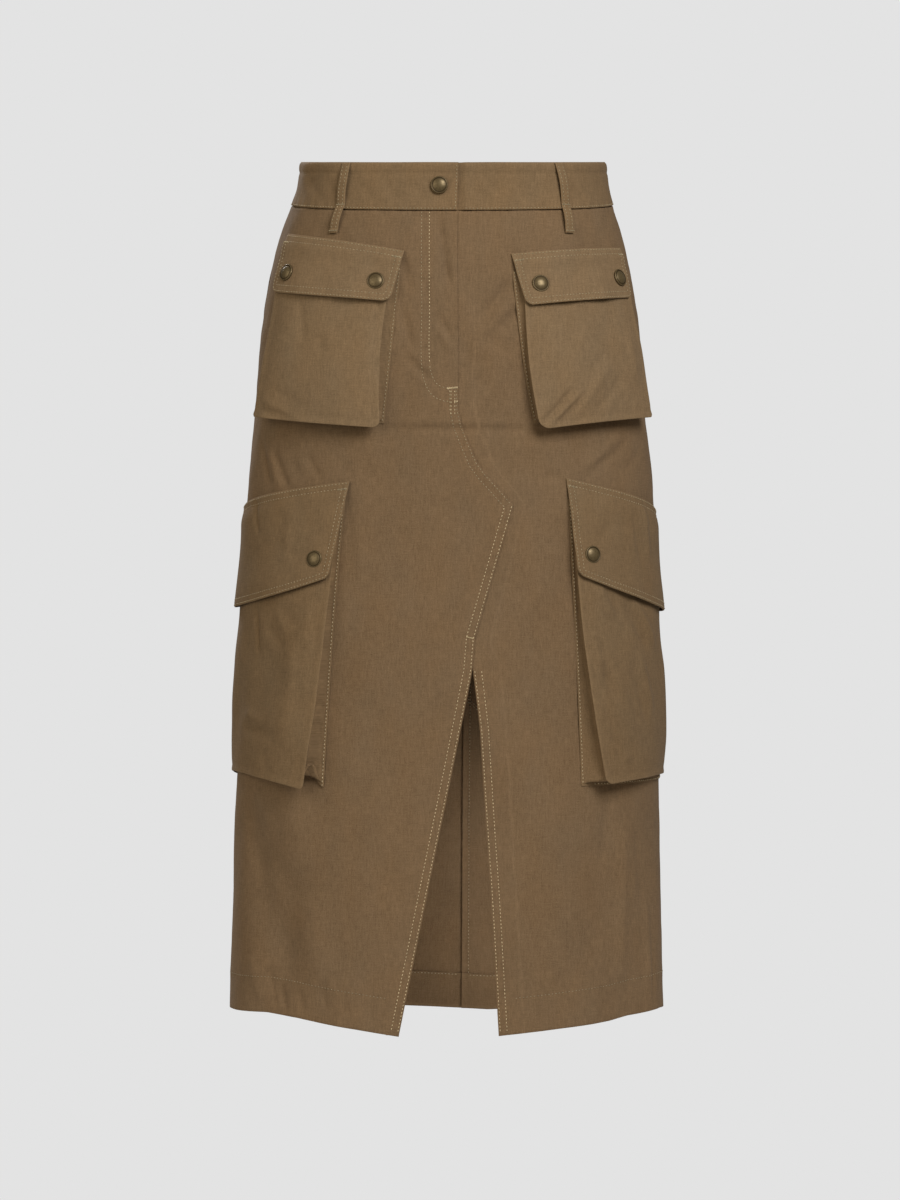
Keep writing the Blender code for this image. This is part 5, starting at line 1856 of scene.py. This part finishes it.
def bar_of_stitches(points, facing, sewing, width):
    """Close stitches across a short track: a bar tack."""
    run = run_along(points)
    count = max(3, int(run[-1] / (sewing.thickness * BAR_PITCH)))
    where = np.linspace(0.0, run[-1], count)
    face = read_along(where, run, facing)
    side = unit(np.cross(points[-1] - points[0], face))
    middle = read_along(where, run, points) + face * (sewing.thickness * BAR_LIFT)
    return middle - side * width / 2, middle + side * width / 2, face


class Thread:
    """Collects rows of stitches for one piece of sewing."""

    def __init__(self):
        self.sewing = bpy.context.scene.skirt_sewing
        self.starts = []
        self.ends = []
        self.faces = []

    def add(self, row):
        for pile, values in zip((self.starts, self.ends, self.faces), row):
            pile.append(values)

    def row(self, path, out_of, inside=False):
        self.add(row_of_stitches(*surface_track(path, out_of, inside), self.sewing))

    def bar(self, path, out_of, width):
        track = surface_track(path, out_of, step=BAR_STEP)
        self.add(bar_of_stitches(*track, self.sewing, width))

    def sew(self, name, slot, bright=1.0):
        points, faces = spindles(np.vstack(self.starts), np.vstack(self.ends),
                                 np.vstack(self.faces), self.sewing.thickness / 2)
        mesh = bpy.data.meshes.new(name)
        mesh.from_pydata(points.tolist(), [], faces)
        fixed(mesh, thread_finish(bright), slot)


# ======== finishes

def new_group(name, inputs, outputs):
    """An empty shader node group with named sockets."""
    group = bpy.data.node_groups.new(name, "ShaderNodeTree")
    for label, kind, default in inputs:
        socket = group.interface.new_socket(name=label, in_out="INPUT", socket_type=kind)
        if default is not None:
            socket.default_value = default
    for label, kind in outputs:
        group.interface.new_socket(name=label, in_out="OUTPUT", socket_type=kind)
    return group


def feed(tree, made, inputs):
    """Set a node's inputs to values, or link sockets to them."""
    for key, value in inputs.items():
        if isinstance(value, bpy.types.NodeSocket):
            tree.links.new(value, made.inputs[key])
        else:
            made.inputs[key].default_value = value


def node(tree, kind, inputs=(), **settings):
    """A node with its settings, and its inputs by name or number."""
    made = tree.nodes.new("ShaderNode" + kind)
    for key, value in settings.items():
        setattr(made, key, value)
    feed(tree, made, dict(inputs))
    return made


def arithmetic(tree, operation, *values):
    """A Math node fed by sockets or numbers."""
    made = node(tree, "Math", dict(enumerate(values)), operation=operation)
    return made.outputs["Value"]


def stretched_noise(tree, vector, scale, size, detail):
    """Noise over the cloth, scaled apart along and across it."""
    spread = node(tree, "Mapping", {"Scale": scale, "Vector": vector})
    noise = node(tree, "TexNoise", {"Scale": size, "Detail": detail,
                                    "Vector": spread.outputs["Vector"]})
    return noise.outputs["Fac"]


def centred(tree, *noise):
    """The same noise about zero."""
    return arithmetic(tree, "SUBTRACT", stretched_noise(tree, *noise), 0.5)


def blended(tree, sockets, shares):
    """The sum of sockets, each times its share."""
    parts = [arithmetic(tree, "MULTIPLY", socket, share)
             for socket, share in zip(sockets, shares)]
    total = parts[0]
    for part in parts[1:]:
        total = arithmetic(tree, "ADD", total, part)
    return total


YARNS = (
    # scale across, scale along, strength against the slub, height
    (760.0, 120.0, 1.10, 0.50),
    (340.0, 34.0, 0.35, 0.20),
    (110.0, 740.0, 0.70, 0.45),
    (950.0, 950.0, 1.50, 0.55),
)
BLOTCHES = (
    # size, strength
    (16.0, 0.16),
    (75.0, 0.13),
)
TWILL_LINES = 1150.0  # diagonal lines to the metre
TWILL_RELIEF = 0.06  # their height
DYE_CAST = (0.10, 0.0, -0.14)  # uneven dye, redder here and more olive there
TWILL_SHEEN = {"Specular IOR Level": 0.14, "Sheen Weight": 0.03, "Sheen Roughness": 0.5}
THREAD_SHEEN = {"Roughness": 0.7, "Specular IOR Level": 0.3}
BRASS_SHEEN = {"Metallic": 0.50, "Specular IOR Level": 0.30}
GROOVE_RADIUS = 0.00615  # of the dark groove round a cap


def twill_group():
    """Slubby cotton twill: colour, roughness and height over the cloth."""
    group = new_group("Slubby Twill", (
        ("Place", "NodeSocketVector", None),
        ("Cloth", "NodeSocketColor", (0.2, 0.15, 0.1, 1.0)),
        ("Worn Cloth", "NodeSocketColor", (0.3, 0.25, 0.2, 1.0)),
        ("Wear", "NodeSocketFloat", 0.0),
        ("Slub", "NodeSocketFloat", 0.1),
        ("Blotch", "NodeSocketFloat", 1.0),
    ), (
        ("Colour", "NodeSocketColor"),
        ("Roughness", "NodeSocketFloat"),
        ("Height", "NodeSocketFloat"),
    ))
    given = group.nodes.new("NodeGroupInput").outputs
    vector = given["Place"]
    yarns = [centred(group, vector, (row[0], row[1], 1.0), 1.0, 1.5) for row in YARNS]
    tone = blended(group, yarns, [row[2] for row in YARNS])
    height = blended(group, yarns, [row[3] for row in YARNS])
    tone = arithmetic(group, "MULTIPLY", tone, given["Slub"])
    clouds = [centred(group, vector, (1.0, 0.6, 1.0), row[0], 2.0) for row in BLOTCHES]
    blotch = blended(group, clouds, [row[1] for row in BLOTCHES])
    blotch = arithmetic(group, "MULTIPLY", blotch, given["Blotch"])
    tone = arithmetic(group, "ADD", tone, blotch)
    apart = node(group, "SeparateXYZ", {"Vector": vector})
    slant = arithmetic(group, "ADD", apart.outputs["X"], apart.outputs["Y"])
    angle = arithmetic(group, "MULTIPLY", slant, 2 * math.pi * TWILL_LINES)
    lines = arithmetic(group, "MULTIPLY", arithmetic(group, "SINE", angle), TWILL_RELIEF)
    level = arithmetic(group, "ADD", tone, 1.0)
    scaled = node(group, "VectorMath", {0: given["Cloth"], "Scale": level},
                  operation="SCALE")
    cast = centred(group, vector, (1.0, 0.5, 1.0), 34.0, 3.0)
    dyed = node(group, "CombineXYZ", {
        axis: arithmetic(group, "MULTIPLY_ADD", cast, share, 1.0)
        for axis, share in zip("XYZ", DYE_CAST)})
    cloth = node(group, "VectorMath", {0: scaled.outputs["Vector"],
                                       1: dyed.outputs["Vector"]}, operation="MULTIPLY")
    patchy = stretched_noise(group, vector, (1.0, 1.0, 1.0), 420.0, 2.0)
    # Folded edges blended towards a lighter colour: partly rubbed wear, partly painted
    # highlight.
    rubbed_and_lit = arithmetic(group, "MULTIPLY", given["Wear"], patchy)
    blend = node(group, "Mix", {"Factor": rubbed_and_lit, "A": cloth.outputs["Vector"],
                                "B": given["Worn Cloth"]}, data_type="RGBA")
    feed(group, group.nodes.new("NodeGroupOutput"), {
        "Colour": blend.outputs["Result"],
        "Roughness": arithmetic(group, "MULTIPLY_ADD", tone, -0.4, 0.86),
        "Height": arithmetic(group, "ADD", height, lines)})
    return group


def tinted(colour, share):
    """A colour made lighter or deeper by a share, or by one share a channel."""
    return tuple(float(c) for c in np.clip(np.array(colour) * share, 0.0, 1.0))


def new_finish(name):
    """A new material, its node tree and its shader."""
    made = bpy.data.materials.new(name)
    made.use_nodes = True
    return made, made.node_tree, made.node_tree.nodes["Principled BSDF"]


def ramp(tree, share, low, high):
    """A colour between two (place, colour) stops."""
    made = node(tree, "ValToRGB", {"Fac": share})
    for stop, (spot, colour) in zip(made.color_ramp.elements, (low, high)):
        stop.position = spot
        stop.color = (*colour, 1.0)
    return made.outputs["Color"]


def ranged(tree, value, low, high, start=0.0, end=1.0):
    """A value's place between low and high, turned to run from start to end."""
    made = node(tree, "MapRange", {"Value": value, "From Min": low, "From Max": high,
                                   "To Min": start, "To Max": end})
    return made.outputs["Result"]


def cloth_finish(name, tint):
    """Twill for one set of pieces, a share lighter or deeper than the rest."""
    if name in bpy.data.materials:
        return bpy.data.materials[name]
    cloth = bpy.context.scene.skirt_cloth
    made, tree, shader = new_finish(name)
    # Mask of folded edges drawn lighter: partly wear, partly painted highlight.
    rubbed_and_lit = node(tree, "Attribute", attribute_name="wear")
    weave = tree.nodes.new("ShaderNodeGroup")
    weave.node_tree = bpy.data.node_groups.get("Slubby Twill") or twill_group()
    feed(tree, weave, {
        "Place": node(tree, "UVMap", uv_map="cloth").outputs["UV"],
        "Cloth": (*tinted(cloth.twill, tint), 1.0),
        "Worn Cloth": (*cloth.worn_and_lit, 1.0),
        "Wear": arithmetic(tree, "MULTIPLY", rubbed_and_lit.outputs["Fac"], 0.5),
        "Slub": cloth.slub})
    raised = node(tree, "Bump", {"Strength": 0.35, "Distance": 0.0004,
                                 "Height": weave.outputs["Height"]})
    feed(tree, shader, {**TWILL_SHEEN, "Base Color": weave.outputs["Colour"],
                        "Roughness": weave.outputs["Roughness"],
                        "Normal": raised.outputs["Normal"]})
    made.diffuse_color = (*cloth.twill, 1.0)
    return made


def thread_finish(bright):
    """Cotton thread with a slight twist, a share lighter or deeper than the set colour."""
    name = "tonal_thread_%d" % round(100 * bright)
    if name in bpy.data.materials:
        return bpy.data.materials[name]
    colour = tinted(bpy.context.scene.skirt_sewing.thread, bright)
    made, tree, shader = new_finish(name)
    spot = node(tree, "TexCoord").outputs["Object"]
    noise = node(tree, "TexNoise", {"Scale": 240.0, "Detail": 2.0, "Vector": spot})
    twist = ramp(tree, noise.outputs["Fac"], (0.25, tinted(colour, 0.62)),
                 (0.75, tinted(colour, 1.15)))
    feed(tree, shader, {**THREAD_SHEEN, "Base Color": twist})
    return made


def brass_finish():
    """Antique brass, dark in the groove and mottled on the dome."""
    name = "aged_brass_cap"
    if name in bpy.data.materials:
        return bpy.data.materials[name]
    snaps = bpy.context.scene.skirt_snaps
    made, tree, shader = new_finish(name)
    spot = node(tree, "TexCoord").outputs["Object"]
    apart = node(tree, "SeparateXYZ", {"Vector": spot}).outputs
    square = arithmetic(tree, "MULTIPLY_ADD", apart["Y"], apart["Y"],
                        arithmetic(tree, "MULTIPLY", apart["X"], apart["X"]))
    off = arithmetic(tree, "SUBTRACT", arithmetic(tree, "SQRT", square), GROOVE_RADIUS)
    groove = ranged(tree, arithmetic(tree, "ABSOLUTE", off), 0.0002, 0.0010, 1.0, 0.0)
    noise = node(tree, "TexNoise", {"Scale": 520.0, "Detail": 4.0, "Vector": spot})
    mottle = ranged(tree, noise.outputs["Fac"], 0.42, 0.68)
    partly = arithmetic(tree, "MULTIPLY", mottle, 0.40)
    dull = arithmetic(tree, "MAXIMUM", partly, groove)
    blend = node(tree, "Mix", {"Factor": dull, "A": (*snaps.brass, 1.0),
                               "B": (*snaps.tarnish, 1.0)}, data_type="RGBA")
    raised = node(tree, "Bump", {"Strength": 0.05, "Distance": 0.0002,
                                 "Height": noise.outputs["Fac"]})
    feed(tree, shader, {**BRASS_SHEEN, "Base Color": blend.outputs["Result"],
                        "Roughness": arithmetic(tree, "MULTIPLY_ADD", dull, 0.14, 0.37),
                        "Normal": raised.outputs["Normal"]})
    return made


# ======== stage

def area_light(name, power, size, spot, target, colour):
    """A soft square light that looks at a target."""
    lamp = bpy.data.lights.new(name, "AREA")
    lamp.energy = power
    lamp.color = colour
    lamp.size = size
    thing = bpy.data.objects.new(name, lamp)
    thing.location = spot
    aim = Vector(target) - Vector(spot)
    thing.rotation_euler = aim.to_track_quat("-Z", "Y").to_euler()
    bpy.context.scene.collection.objects.link(thing)
    return thing


def set_world(backdrop, ambient, gloss):
    """The backdrop's colour for the camera, and even light for the cloth."""
    world = bpy.data.worlds.new("studio")
    bpy.context.scene.world = world
    world.use_nodes = True
    tree = world.node_tree
    shown = tree.nodes["Background"]
    feed(tree, shown, {"Color": (*backdrop, 1.0)})
    path = node(tree, "LightPath").outputs
    level = node(tree, "Mix", {"Factor": path["Is Glossy Ray"], "A": ambient, "B": gloss},
                 data_type="FLOAT")
    lit = node(tree, "Background", {"Color": (*WARM, 1.0),
                                    "Strength": level.outputs["Result"]})
    choose = node(tree, "MixShader", {"Fac": path["Is Camera Ray"],
                                      1: lit.outputs["Background"],
                                      2: shown.outputs["Background"]})
    feed(tree, tree.nodes["World Output"], {"Surface": choose.outputs["Shader"]})


def floor_finish(colour):
    """Plain pale floor with a faint unevenness."""
    made, tree, shader = new_finish("pale_floor")
    noise = node(tree, "TexNoise", {"Scale": 6.0})
    shade = ramp(tree, noise.outputs["Fac"], (0.0, tinted(colour, 0.97)),
                 (1.0, tinted(colour, 1.0)))
    feed(tree, shader, {"Base Color": shade, "Roughness": 0.9})
    return made


class SKIRT_OT_stage(bpy.types.Operator):
    """Set up the camera, the floor, the backdrop and the lights"""

    bl_idname = "skirt.stage"
    bl_label = "Stage"

    def execute(self, context):
        scene = context.scene
        stage = scene.skirt_stage
        scene.view_settings.view_transform = "Standard"
        set_world(stage.backdrop, stage.ambient, stage.gloss)
        lens = bpy.data.cameras.new("front_view")
        lens.lens = CAMERA_LENS
        lens.sensor_width = SENSOR
        camera = bpy.data.objects.new("front_view", lens)
        camera.location = CAMERA_PLACE
        camera.rotation_euler = (math.pi / 2, 0.0, 0.0)
        scene.collection.objects.link(camera)
        scene.camera = camera
        middle = (0.0, 0.0, CAMERA_PLACE[2])
        for name, size, spot, colour in LAMPS:
            area_light(name, getattr(stage, name), size, spot, middle, colour)
        strip = area_light("inside", stage.inside, STRIP_SIZE[0], *STRIP_PLACES, COOL)
        strip.data.shape = "RECTANGLE"
        strip.data.size_y = STRIP_SIZE[1]
        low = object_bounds()[0][2] - FLOOR_DROP
        bpy.ops.mesh.primitive_circle_add(vertices=FLOOR_SIDES, radius=FLOOR_RADIUS,
                                          fill_type="NGON", location=(0.0, 0.0, low))
        floor = context.object
        floor.name = "floor"
        floor.data.materials.append(floor_finish(stage.backdrop))
        floor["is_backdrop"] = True
        return {"FINISHED"}


# ======== pieces

class SKIRT_OT_fronts(bpy.types.Operator):
    """Cut and hang the two front panels, lapped from the fly to the slit"""

    bl_idname = "skirt.fronts"
    bl_label = "Front panels"

    def execute(self, context):
        finish = cloth_finish("cotton_twill_front", (1.01, 1.035, 1.08))
        for name, patches in (("front_right", front_right_patches()),
                              ("front_left", front_left_patches())):
            panel = piece(name + "_panel", patches, finish, "twill_front", [name])
        return {"FINISHED"}


class SKIRT_OT_backs(bpy.types.Operator):
    """Cut and hang the two back panels, lapped at the centre back"""

    bl_idname = "skirt.backs"
    bl_label = "Back panels"

    def execute(self, context):
        finish = cloth_finish("cotton_twill_back", 0.95)
        for name, patches in (("back_right", back_right_patches()),
                              ("back_left", back_left_patches())):
            panel = piece(name + "_panel", patches, finish, "twill_back", [name])
        return {"FINISHED"}


class SKIRT_OT_waistband(bpy.types.Operator):
    """Set the two halves of the waistband, lapped at the front"""

    bl_idname = "skirt.waistband"
    bl_label = "Waistband"

    def execute(self, context):
        finish = cloth_finish("cotton_twill_band", BAND_LIT_TINT)
        for name, patches in (("waistband_right", band_right_patches()),
                              ("waistband_left", band_left_patches())):
            band = piece(name + "_piece", patches, finish, "twill_band", [name])
        return {"FINISHED"}


class SKIRT_OT_belt_loops(bpy.types.Operator):
    """Sew the five belt loops over the waistband"""

    bl_idname = "skirt.belt_loops"
    bl_label = "Belt loops"

    def execute(self, context):
        finish = cloth_finish("cotton_twill_band", BAND_LIT_TINT)
        for row in FRONT_LOOPS + BACK_LOOPS:
            strip = piece(row[0] + "_strip", loop_patches(row[0]), finish, "twill_band",
                          [row[0]])
        return {"FINISHED"}


# Painted light: the band and belt loops are made lighter than the panels' twill, matching how
# bright they show at the top of the skirt.
BAND_LIT_TINT = (1.07, 1.11, 1.12)
# Painted light: the upper pockets and flaps are made lighter than the lower ones, standing in
# for light that is stronger higher up the skirt.
POCKET_LIT_TINTS = {"upper": (1.13, 1.20, 1.26), "lower": (1.02, 1.06, 1.07)}
POCKET_CUTS = {
    # level: face size, gusset size, flap size
    "upper": ((0.120, 0.145), (0.017, 0.39), (0.125, 0.050)),
    "lower": ((0.175, 0.250), (0.0145, 0.62), (0.185, 0.100)),
}


class SKIRT_OT_pockets(bpy.types.Operator):
    """Sew on the four bellows pockets: gusset, face and flap"""

    bl_idname = "skirt.pockets"
    bl_label = "Bellows pockets"

    def execute(self, context):
        gusset_cloth = cloth_finish("cotton_twill_gusset", (1.03, 1.06, 1.07))
        for key in POCKETS:
            level, side = key.split("_")
            face_cut, gusset_cut, flap_cut = POCKET_CUTS[level]
            face_cloth = cloth_finish("cotton_twill_%s_pocket" % level, POCKET_LIT_TINTS[level])
            rows = (
                ("face", face_patches, face_cloth, "twill_pocket", face_cut, "draped"),
                ("gusset", gusset_patches, gusset_cloth, "twill_gusset", gusset_cut,
                 "folded"),
                ("flap", flap_patches, face_cloth, "twill_pocket", flap_cut, "laid"),
            )
            for part, make, finish, slot, cut, held in rows:
                node_name = "%s_pocket_%s_%s" % (level, part, side)
                cloth = piece(node_name + "_cloth", make(key), finish, slot, [node_name])
        return {"FINISHED"}


class SKIRT_OT_snaps(bpy.types.Operator):
    """Press the seven brass snap caps into the waistband and the flaps"""

    bl_idname = "skirt.snaps"
    bl_label = "Snaps"

    def execute(self, context):
        finish = brass_finish()
        for name, girth, height, carrier in SNAPS:
            mesh = snap_mesh()
            mesh.materials.append(finish)
            cap = bpy.data.objects.new(name + "_cap", mesh)
            context.scene.collection.objects.link(cap)
            cap.matrix_world = snap_frame(girth, height, carrier)
            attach(cap, BODY)
            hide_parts(name)
        return {"FINISHED"}


def sew_fronts():
    thread = Thread()
    soft = Thread()
    soft.row(smooth_path(FLY_OUTER_ROW), front_out)
    inner = smooth_path(FLY_INNER_ROW)
    straight = int(np.argmin(np.abs(inner[:, 1] + 0.163)))
    thread.row(inner[:straight], front_out)
    soft.row(inner[straight:], front_out)
    for path in lap_rows(hem_low(RIGHT_CORNER, EDGE_ROW)):
        corner = int(np.argmax(path[:, 0]))
        soft.row(path[:corner + 1], front_out)
        thread.row(path[corner:], front_out)
    for path in slit_rows(hem_low(LEFT_CORNER, EDGE_ROW)):
        thread.row(path, left_out)
    edge, second = lap_rows(TACK_HEIGHT)
    thread.bar([second[-1], edge[-1]], front_out, 0.0013)
    fly = float(through(RIGHT_FRONT_EDGE, -0.183))
    thread.bar([(fly - 0.0090, -0.1826), (fly - 0.0006, -0.1818)], front_out, 0.0018)
    thread.bar([(fly - 0.0030, -0.1938), (fly - 0.0004, -0.1938)], front_out, 0.0016)
    for inset in (0.0028, 0.0061):
        thread.row([(fly - inset, -0.1838), (fly - inset, -0.2070)], front_out)
    thread.sew("front_stitches", "twill_front")
    soft.sew("front_tonal_stitches", "twill_front", TONAL)
    hem = Thread()
    hem.row(hem_row(*RIGHT_HEM), front_out)
    hem.row(hem_row(*LEFT_HEM), left_out)
    hem.sew("hem_stitches", "twill_front", HEM_TONAL)


def back_left_inner(across, height):
    return back_left_out(across, height) - CLOTH


def sew_backs():
    thread = Thread()
    for path, inset in zip(centre_back_rows(), (EDGE_ROW, BACK_SECOND_ROW)):
        thread.row(path, back_out)
        if inset == EDGE_ROW:
            across = CENTRE_BACK_SEAM + inset / BACK_LENGTH
            inner = on_cloth(np.full(len(path), across), path[:, 1])
            thread.row(inner, back_left_inner, inside=True)
        across = np.array((VENT_ROW[0], VENT_ROW[2]))
        level = np.array((VENT_ROW[1], VENT_ROW[3])) - inset * 0.6
        thread.row(on_cloth(across, level), back_left_inner, inside=True)
    thread.row(hem_row(*BACK_RIGHT_HEM), back_out)
    thread.row(hem_row(*BACK_LEFT_HEM), back_left_out)
    for ends, out_of in ((INNER_RIGHT_HEM, back_out), (BACK_LEFT_HEM, back_left_out)):
        thread.row(hem_row(*ends), lambda a, h, of=out_of: of(a, h) - 2 * CLOTH - GAP,
                   inside=True)
    thread.sew("back_stitches", "twill_back", TONAL)


def sew_band():
    thread = Thread()
    quarter = float(quarter_length(0.0))
    lap = band_lap()
    right = level_path(lap - 0.0010 / quarter, -1.99, band_seam, EDGE_ROW, 200)
    left = level_path(lap + 0.0060 / quarter, 1.99, band_seam, EDGE_ROW, 200)
    thread.row(right, band_out)
    thread.row(left, band_out)
    end_girth = RIGHT_FRONT_EDGE[0][1] - EDGE_ROW
    top = float(waist_top(lap)) - 0.002
    low = float(band_seam(lap)) + EDGE_ROW
    thread.row([(end_girth, top), (end_girth, low)], band_out)
    for row in FRONT_LOOPS + BACK_LOOPS:
        sew_loop(thread, row[0])
    thread.sew("waistband_stitches", "twill_band", TONAL)


def sew_loop(thread, name):
    """Two rows down a belt loop, with a bar at the seam and at its end."""
    rise = 1.0 - LOOP_ROW_INSET / (LOOP_WIDTH / 2)
    shares, middle, height = loop_line(name)
    for side in (-1.0, 1.0):
        half = LOOP_WIDTH / 2 / quarter_length(height) * rise
        points, facing = faced(middle + side * half, height, loop_out(shares, side * rise))
        thread.add(row_of_stitches(points[4:-4], facing[4:-4], thread.sewing))
    for share in LOOP_ENDS:
        at = int(round(share * (LOOP_ROWS - 1)))
        side = np.linspace(-0.86, 0.86, 30)
        across = middle[at] + LOOP_WIDTH / 2 / quarter_length(height[at]) * side
        out = loop_out(np.full(side.shape, shares[at]), side)
        thread.add(bar_of_stitches(*faced(across, height[at], out), thread.sewing, 0.0012))


def flange_out(across, height):
    return np.full(np.shape(across), SEAT + CLOTH)


def sew_pocket_base(thread, key):
    """A row round the sewn edge of a gusset."""
    outline = base_outline(POCKETS[key], 40, 120)
    path = on_cloth(outline[:, 0], outline[:, 1])
    for part in (path[:40], path[47:159], path[158:]):
        thread.row(turned(part, EDGE_ROW, flip=path[0][0] < 0), flange_out)


def flap_track(key, u, v, wide, tall):
    pocket = POCKETS[key]
    across, height = flap_places(pocket, u, v)
    return faced(across, height, flap_out(key, across, height, u, v, wide, tall))


def flap_border(inset, radii, wide, tall, top):
    """Shares along and down a flap for a row that follows its free edges."""
    left = max(radii[0] - inset, 0.0008)
    right = max(radii[1] - inset, 0.0008)
    low = tall - inset
    points = [(inset, top)]
    for k in range(9):
        angle = math.pi / 2 * k / 8
        points.append((inset + left * (1 - math.cos(angle)),
                       low - left * (1 - math.sin(angle))))
    for k in range(9):
        angle = math.pi / 2 * (8 - k) / 8
        points.append((wide - inset - right * (1 - math.cos(angle)),
                       low - right * (1 - math.sin(angle))))
    points.append((wide - inset, top))
    path = np.array(points)
    run = run_along(path)
    along, down = read_along(np.arange(0.0, run[-1], TRACK_STEP), run, path).T
    return along / wide, down / tall


def sew_flap(thread, key):
    """Border rows, top rows and the tacks at a flap's top corners."""
    pocket = POCKETS[key]
    _, _, wide, tall = flap_shape(key)
    for inset in (EDGE_ROW, FLAP_ROW):
        u, v = flap_border(inset, pocket["flap_round"], wide, tall, FLAP_ROW)
        thread.add(row_of_stitches(*flap_track(key, u, v, wide, tall), thread.sewing))
    for down in (EDGE_ROW, FLAP_ROW):
        u = np.arange(0.0012, wide - 0.0012, TRACK_STEP) / wide
        v = np.full(u.shape, down / tall)
        thread.add(row_of_stitches(*flap_track(key, u, v, wide, tall), thread.sewing))
    for start in (0.0012, wide - 0.0090):
        u = (start + np.linspace(0.0, 0.0078, 20)) / wide
        v = np.full(u.shape, (FLAP_ROW + 0.0006) / tall)
        points, facing = flap_track(key, u, v, wide, tall)
        thread.add(bar_of_stitches(points, facing, thread.sewing, 0.0013))


def sew_pockets():
    flaps = Thread()
    for level, bright in (("upper", 0.60), ("lower", 0.80)):
        base = Thread()
        for side in ("right", "left"):
            sew_pocket_base(base, "%s_%s" % (level, side))
            sew_flap(flaps, "%s_%s" % (level, side))
        base.sew("%s_pocket_stitches" % level, "twill_gusset", bright)
    flaps.sew("flap_stitches", "twill_pocket", TONAL)


class SKIRT_OT_stitching(bpy.types.Operator):
    """Sew every row of stitches and bar tack that shows"""

    bl_idname = "skirt.stitching"
    bl_label = "Stitching"

    def execute(self, context):
        sew_fronts()
        sew_backs()
        sew_band()
        sew_pockets()
        return {"FINISHED"}


# ======== add-on

STEPS = (SKIRT_OT_stage, SKIRT_OT_fronts, SKIRT_OT_backs, SKIRT_OT_waistband,
         SKIRT_OT_belt_loops, SKIRT_OT_pockets, SKIRT_OT_snaps, SKIRT_OT_stitching)
SETTINGS = (
    # scene property, group, properties shown
    ("skirt_cloth", SkirtCloth, ("twill", "worn_and_lit", "slub", "crease", "ripple")),
    ("skirt_sewing", SkirtSewing, ("thread", "thickness", "stitch", "space")),
    ("skirt_snaps", SkirtSnaps, ("brass", "tarnish")),
    ("skirt_stage", SkirtStage, ("backdrop", "key", "fill", "rear", "inside", "ambient",
                                 "gloss")),
)


class SKIRT_PT_workroom(bpy.types.Panel):
    """The skirt's settings and its steps in sewing order"""

    bl_idname = "SKIRT_PT_workroom"
    bl_label = "Cargo Utility Skirt"
    bl_space_type = "VIEW_3D"
    bl_region_type = "UI"
    bl_category = "Skirt"

    def draw(self, context):
        for owner, _, names in SETTINGS:
            box = self.layout.box()
            for name in names:
                box.prop(getattr(context.scene, owner), name)
        column = self.layout.column(align=True)
        for step in STEPS:
            column.operator(step.bl_idname)


def register():
    for owner, group, _ in SETTINGS:
        bpy.utils.register_class(group)
        setattr(bpy.types.Scene, owner, PointerProperty(type=group))
    for step in STEPS:
        bpy.utils.register_class(step)
    bpy.utils.register_class(SKIRT_PT_workroom)


def unregister():
    bpy.utils.unregister_class(SKIRT_PT_workroom)
    for step in reversed(STEPS):
        bpy.utils.unregister_class(step)
    for owner, group, _ in reversed(SETTINGS):
        delattr(bpy.types.Scene, owner)
        bpy.utils.unregister_class(group)


def main():
    register()
    for step in STEPS:
        area, name = step.bl_idname.split(".")
        getattr(getattr(bpy.ops, area), name)()
    bpy.context.view_layer.update()


if __name__ == "__main__":
    main()
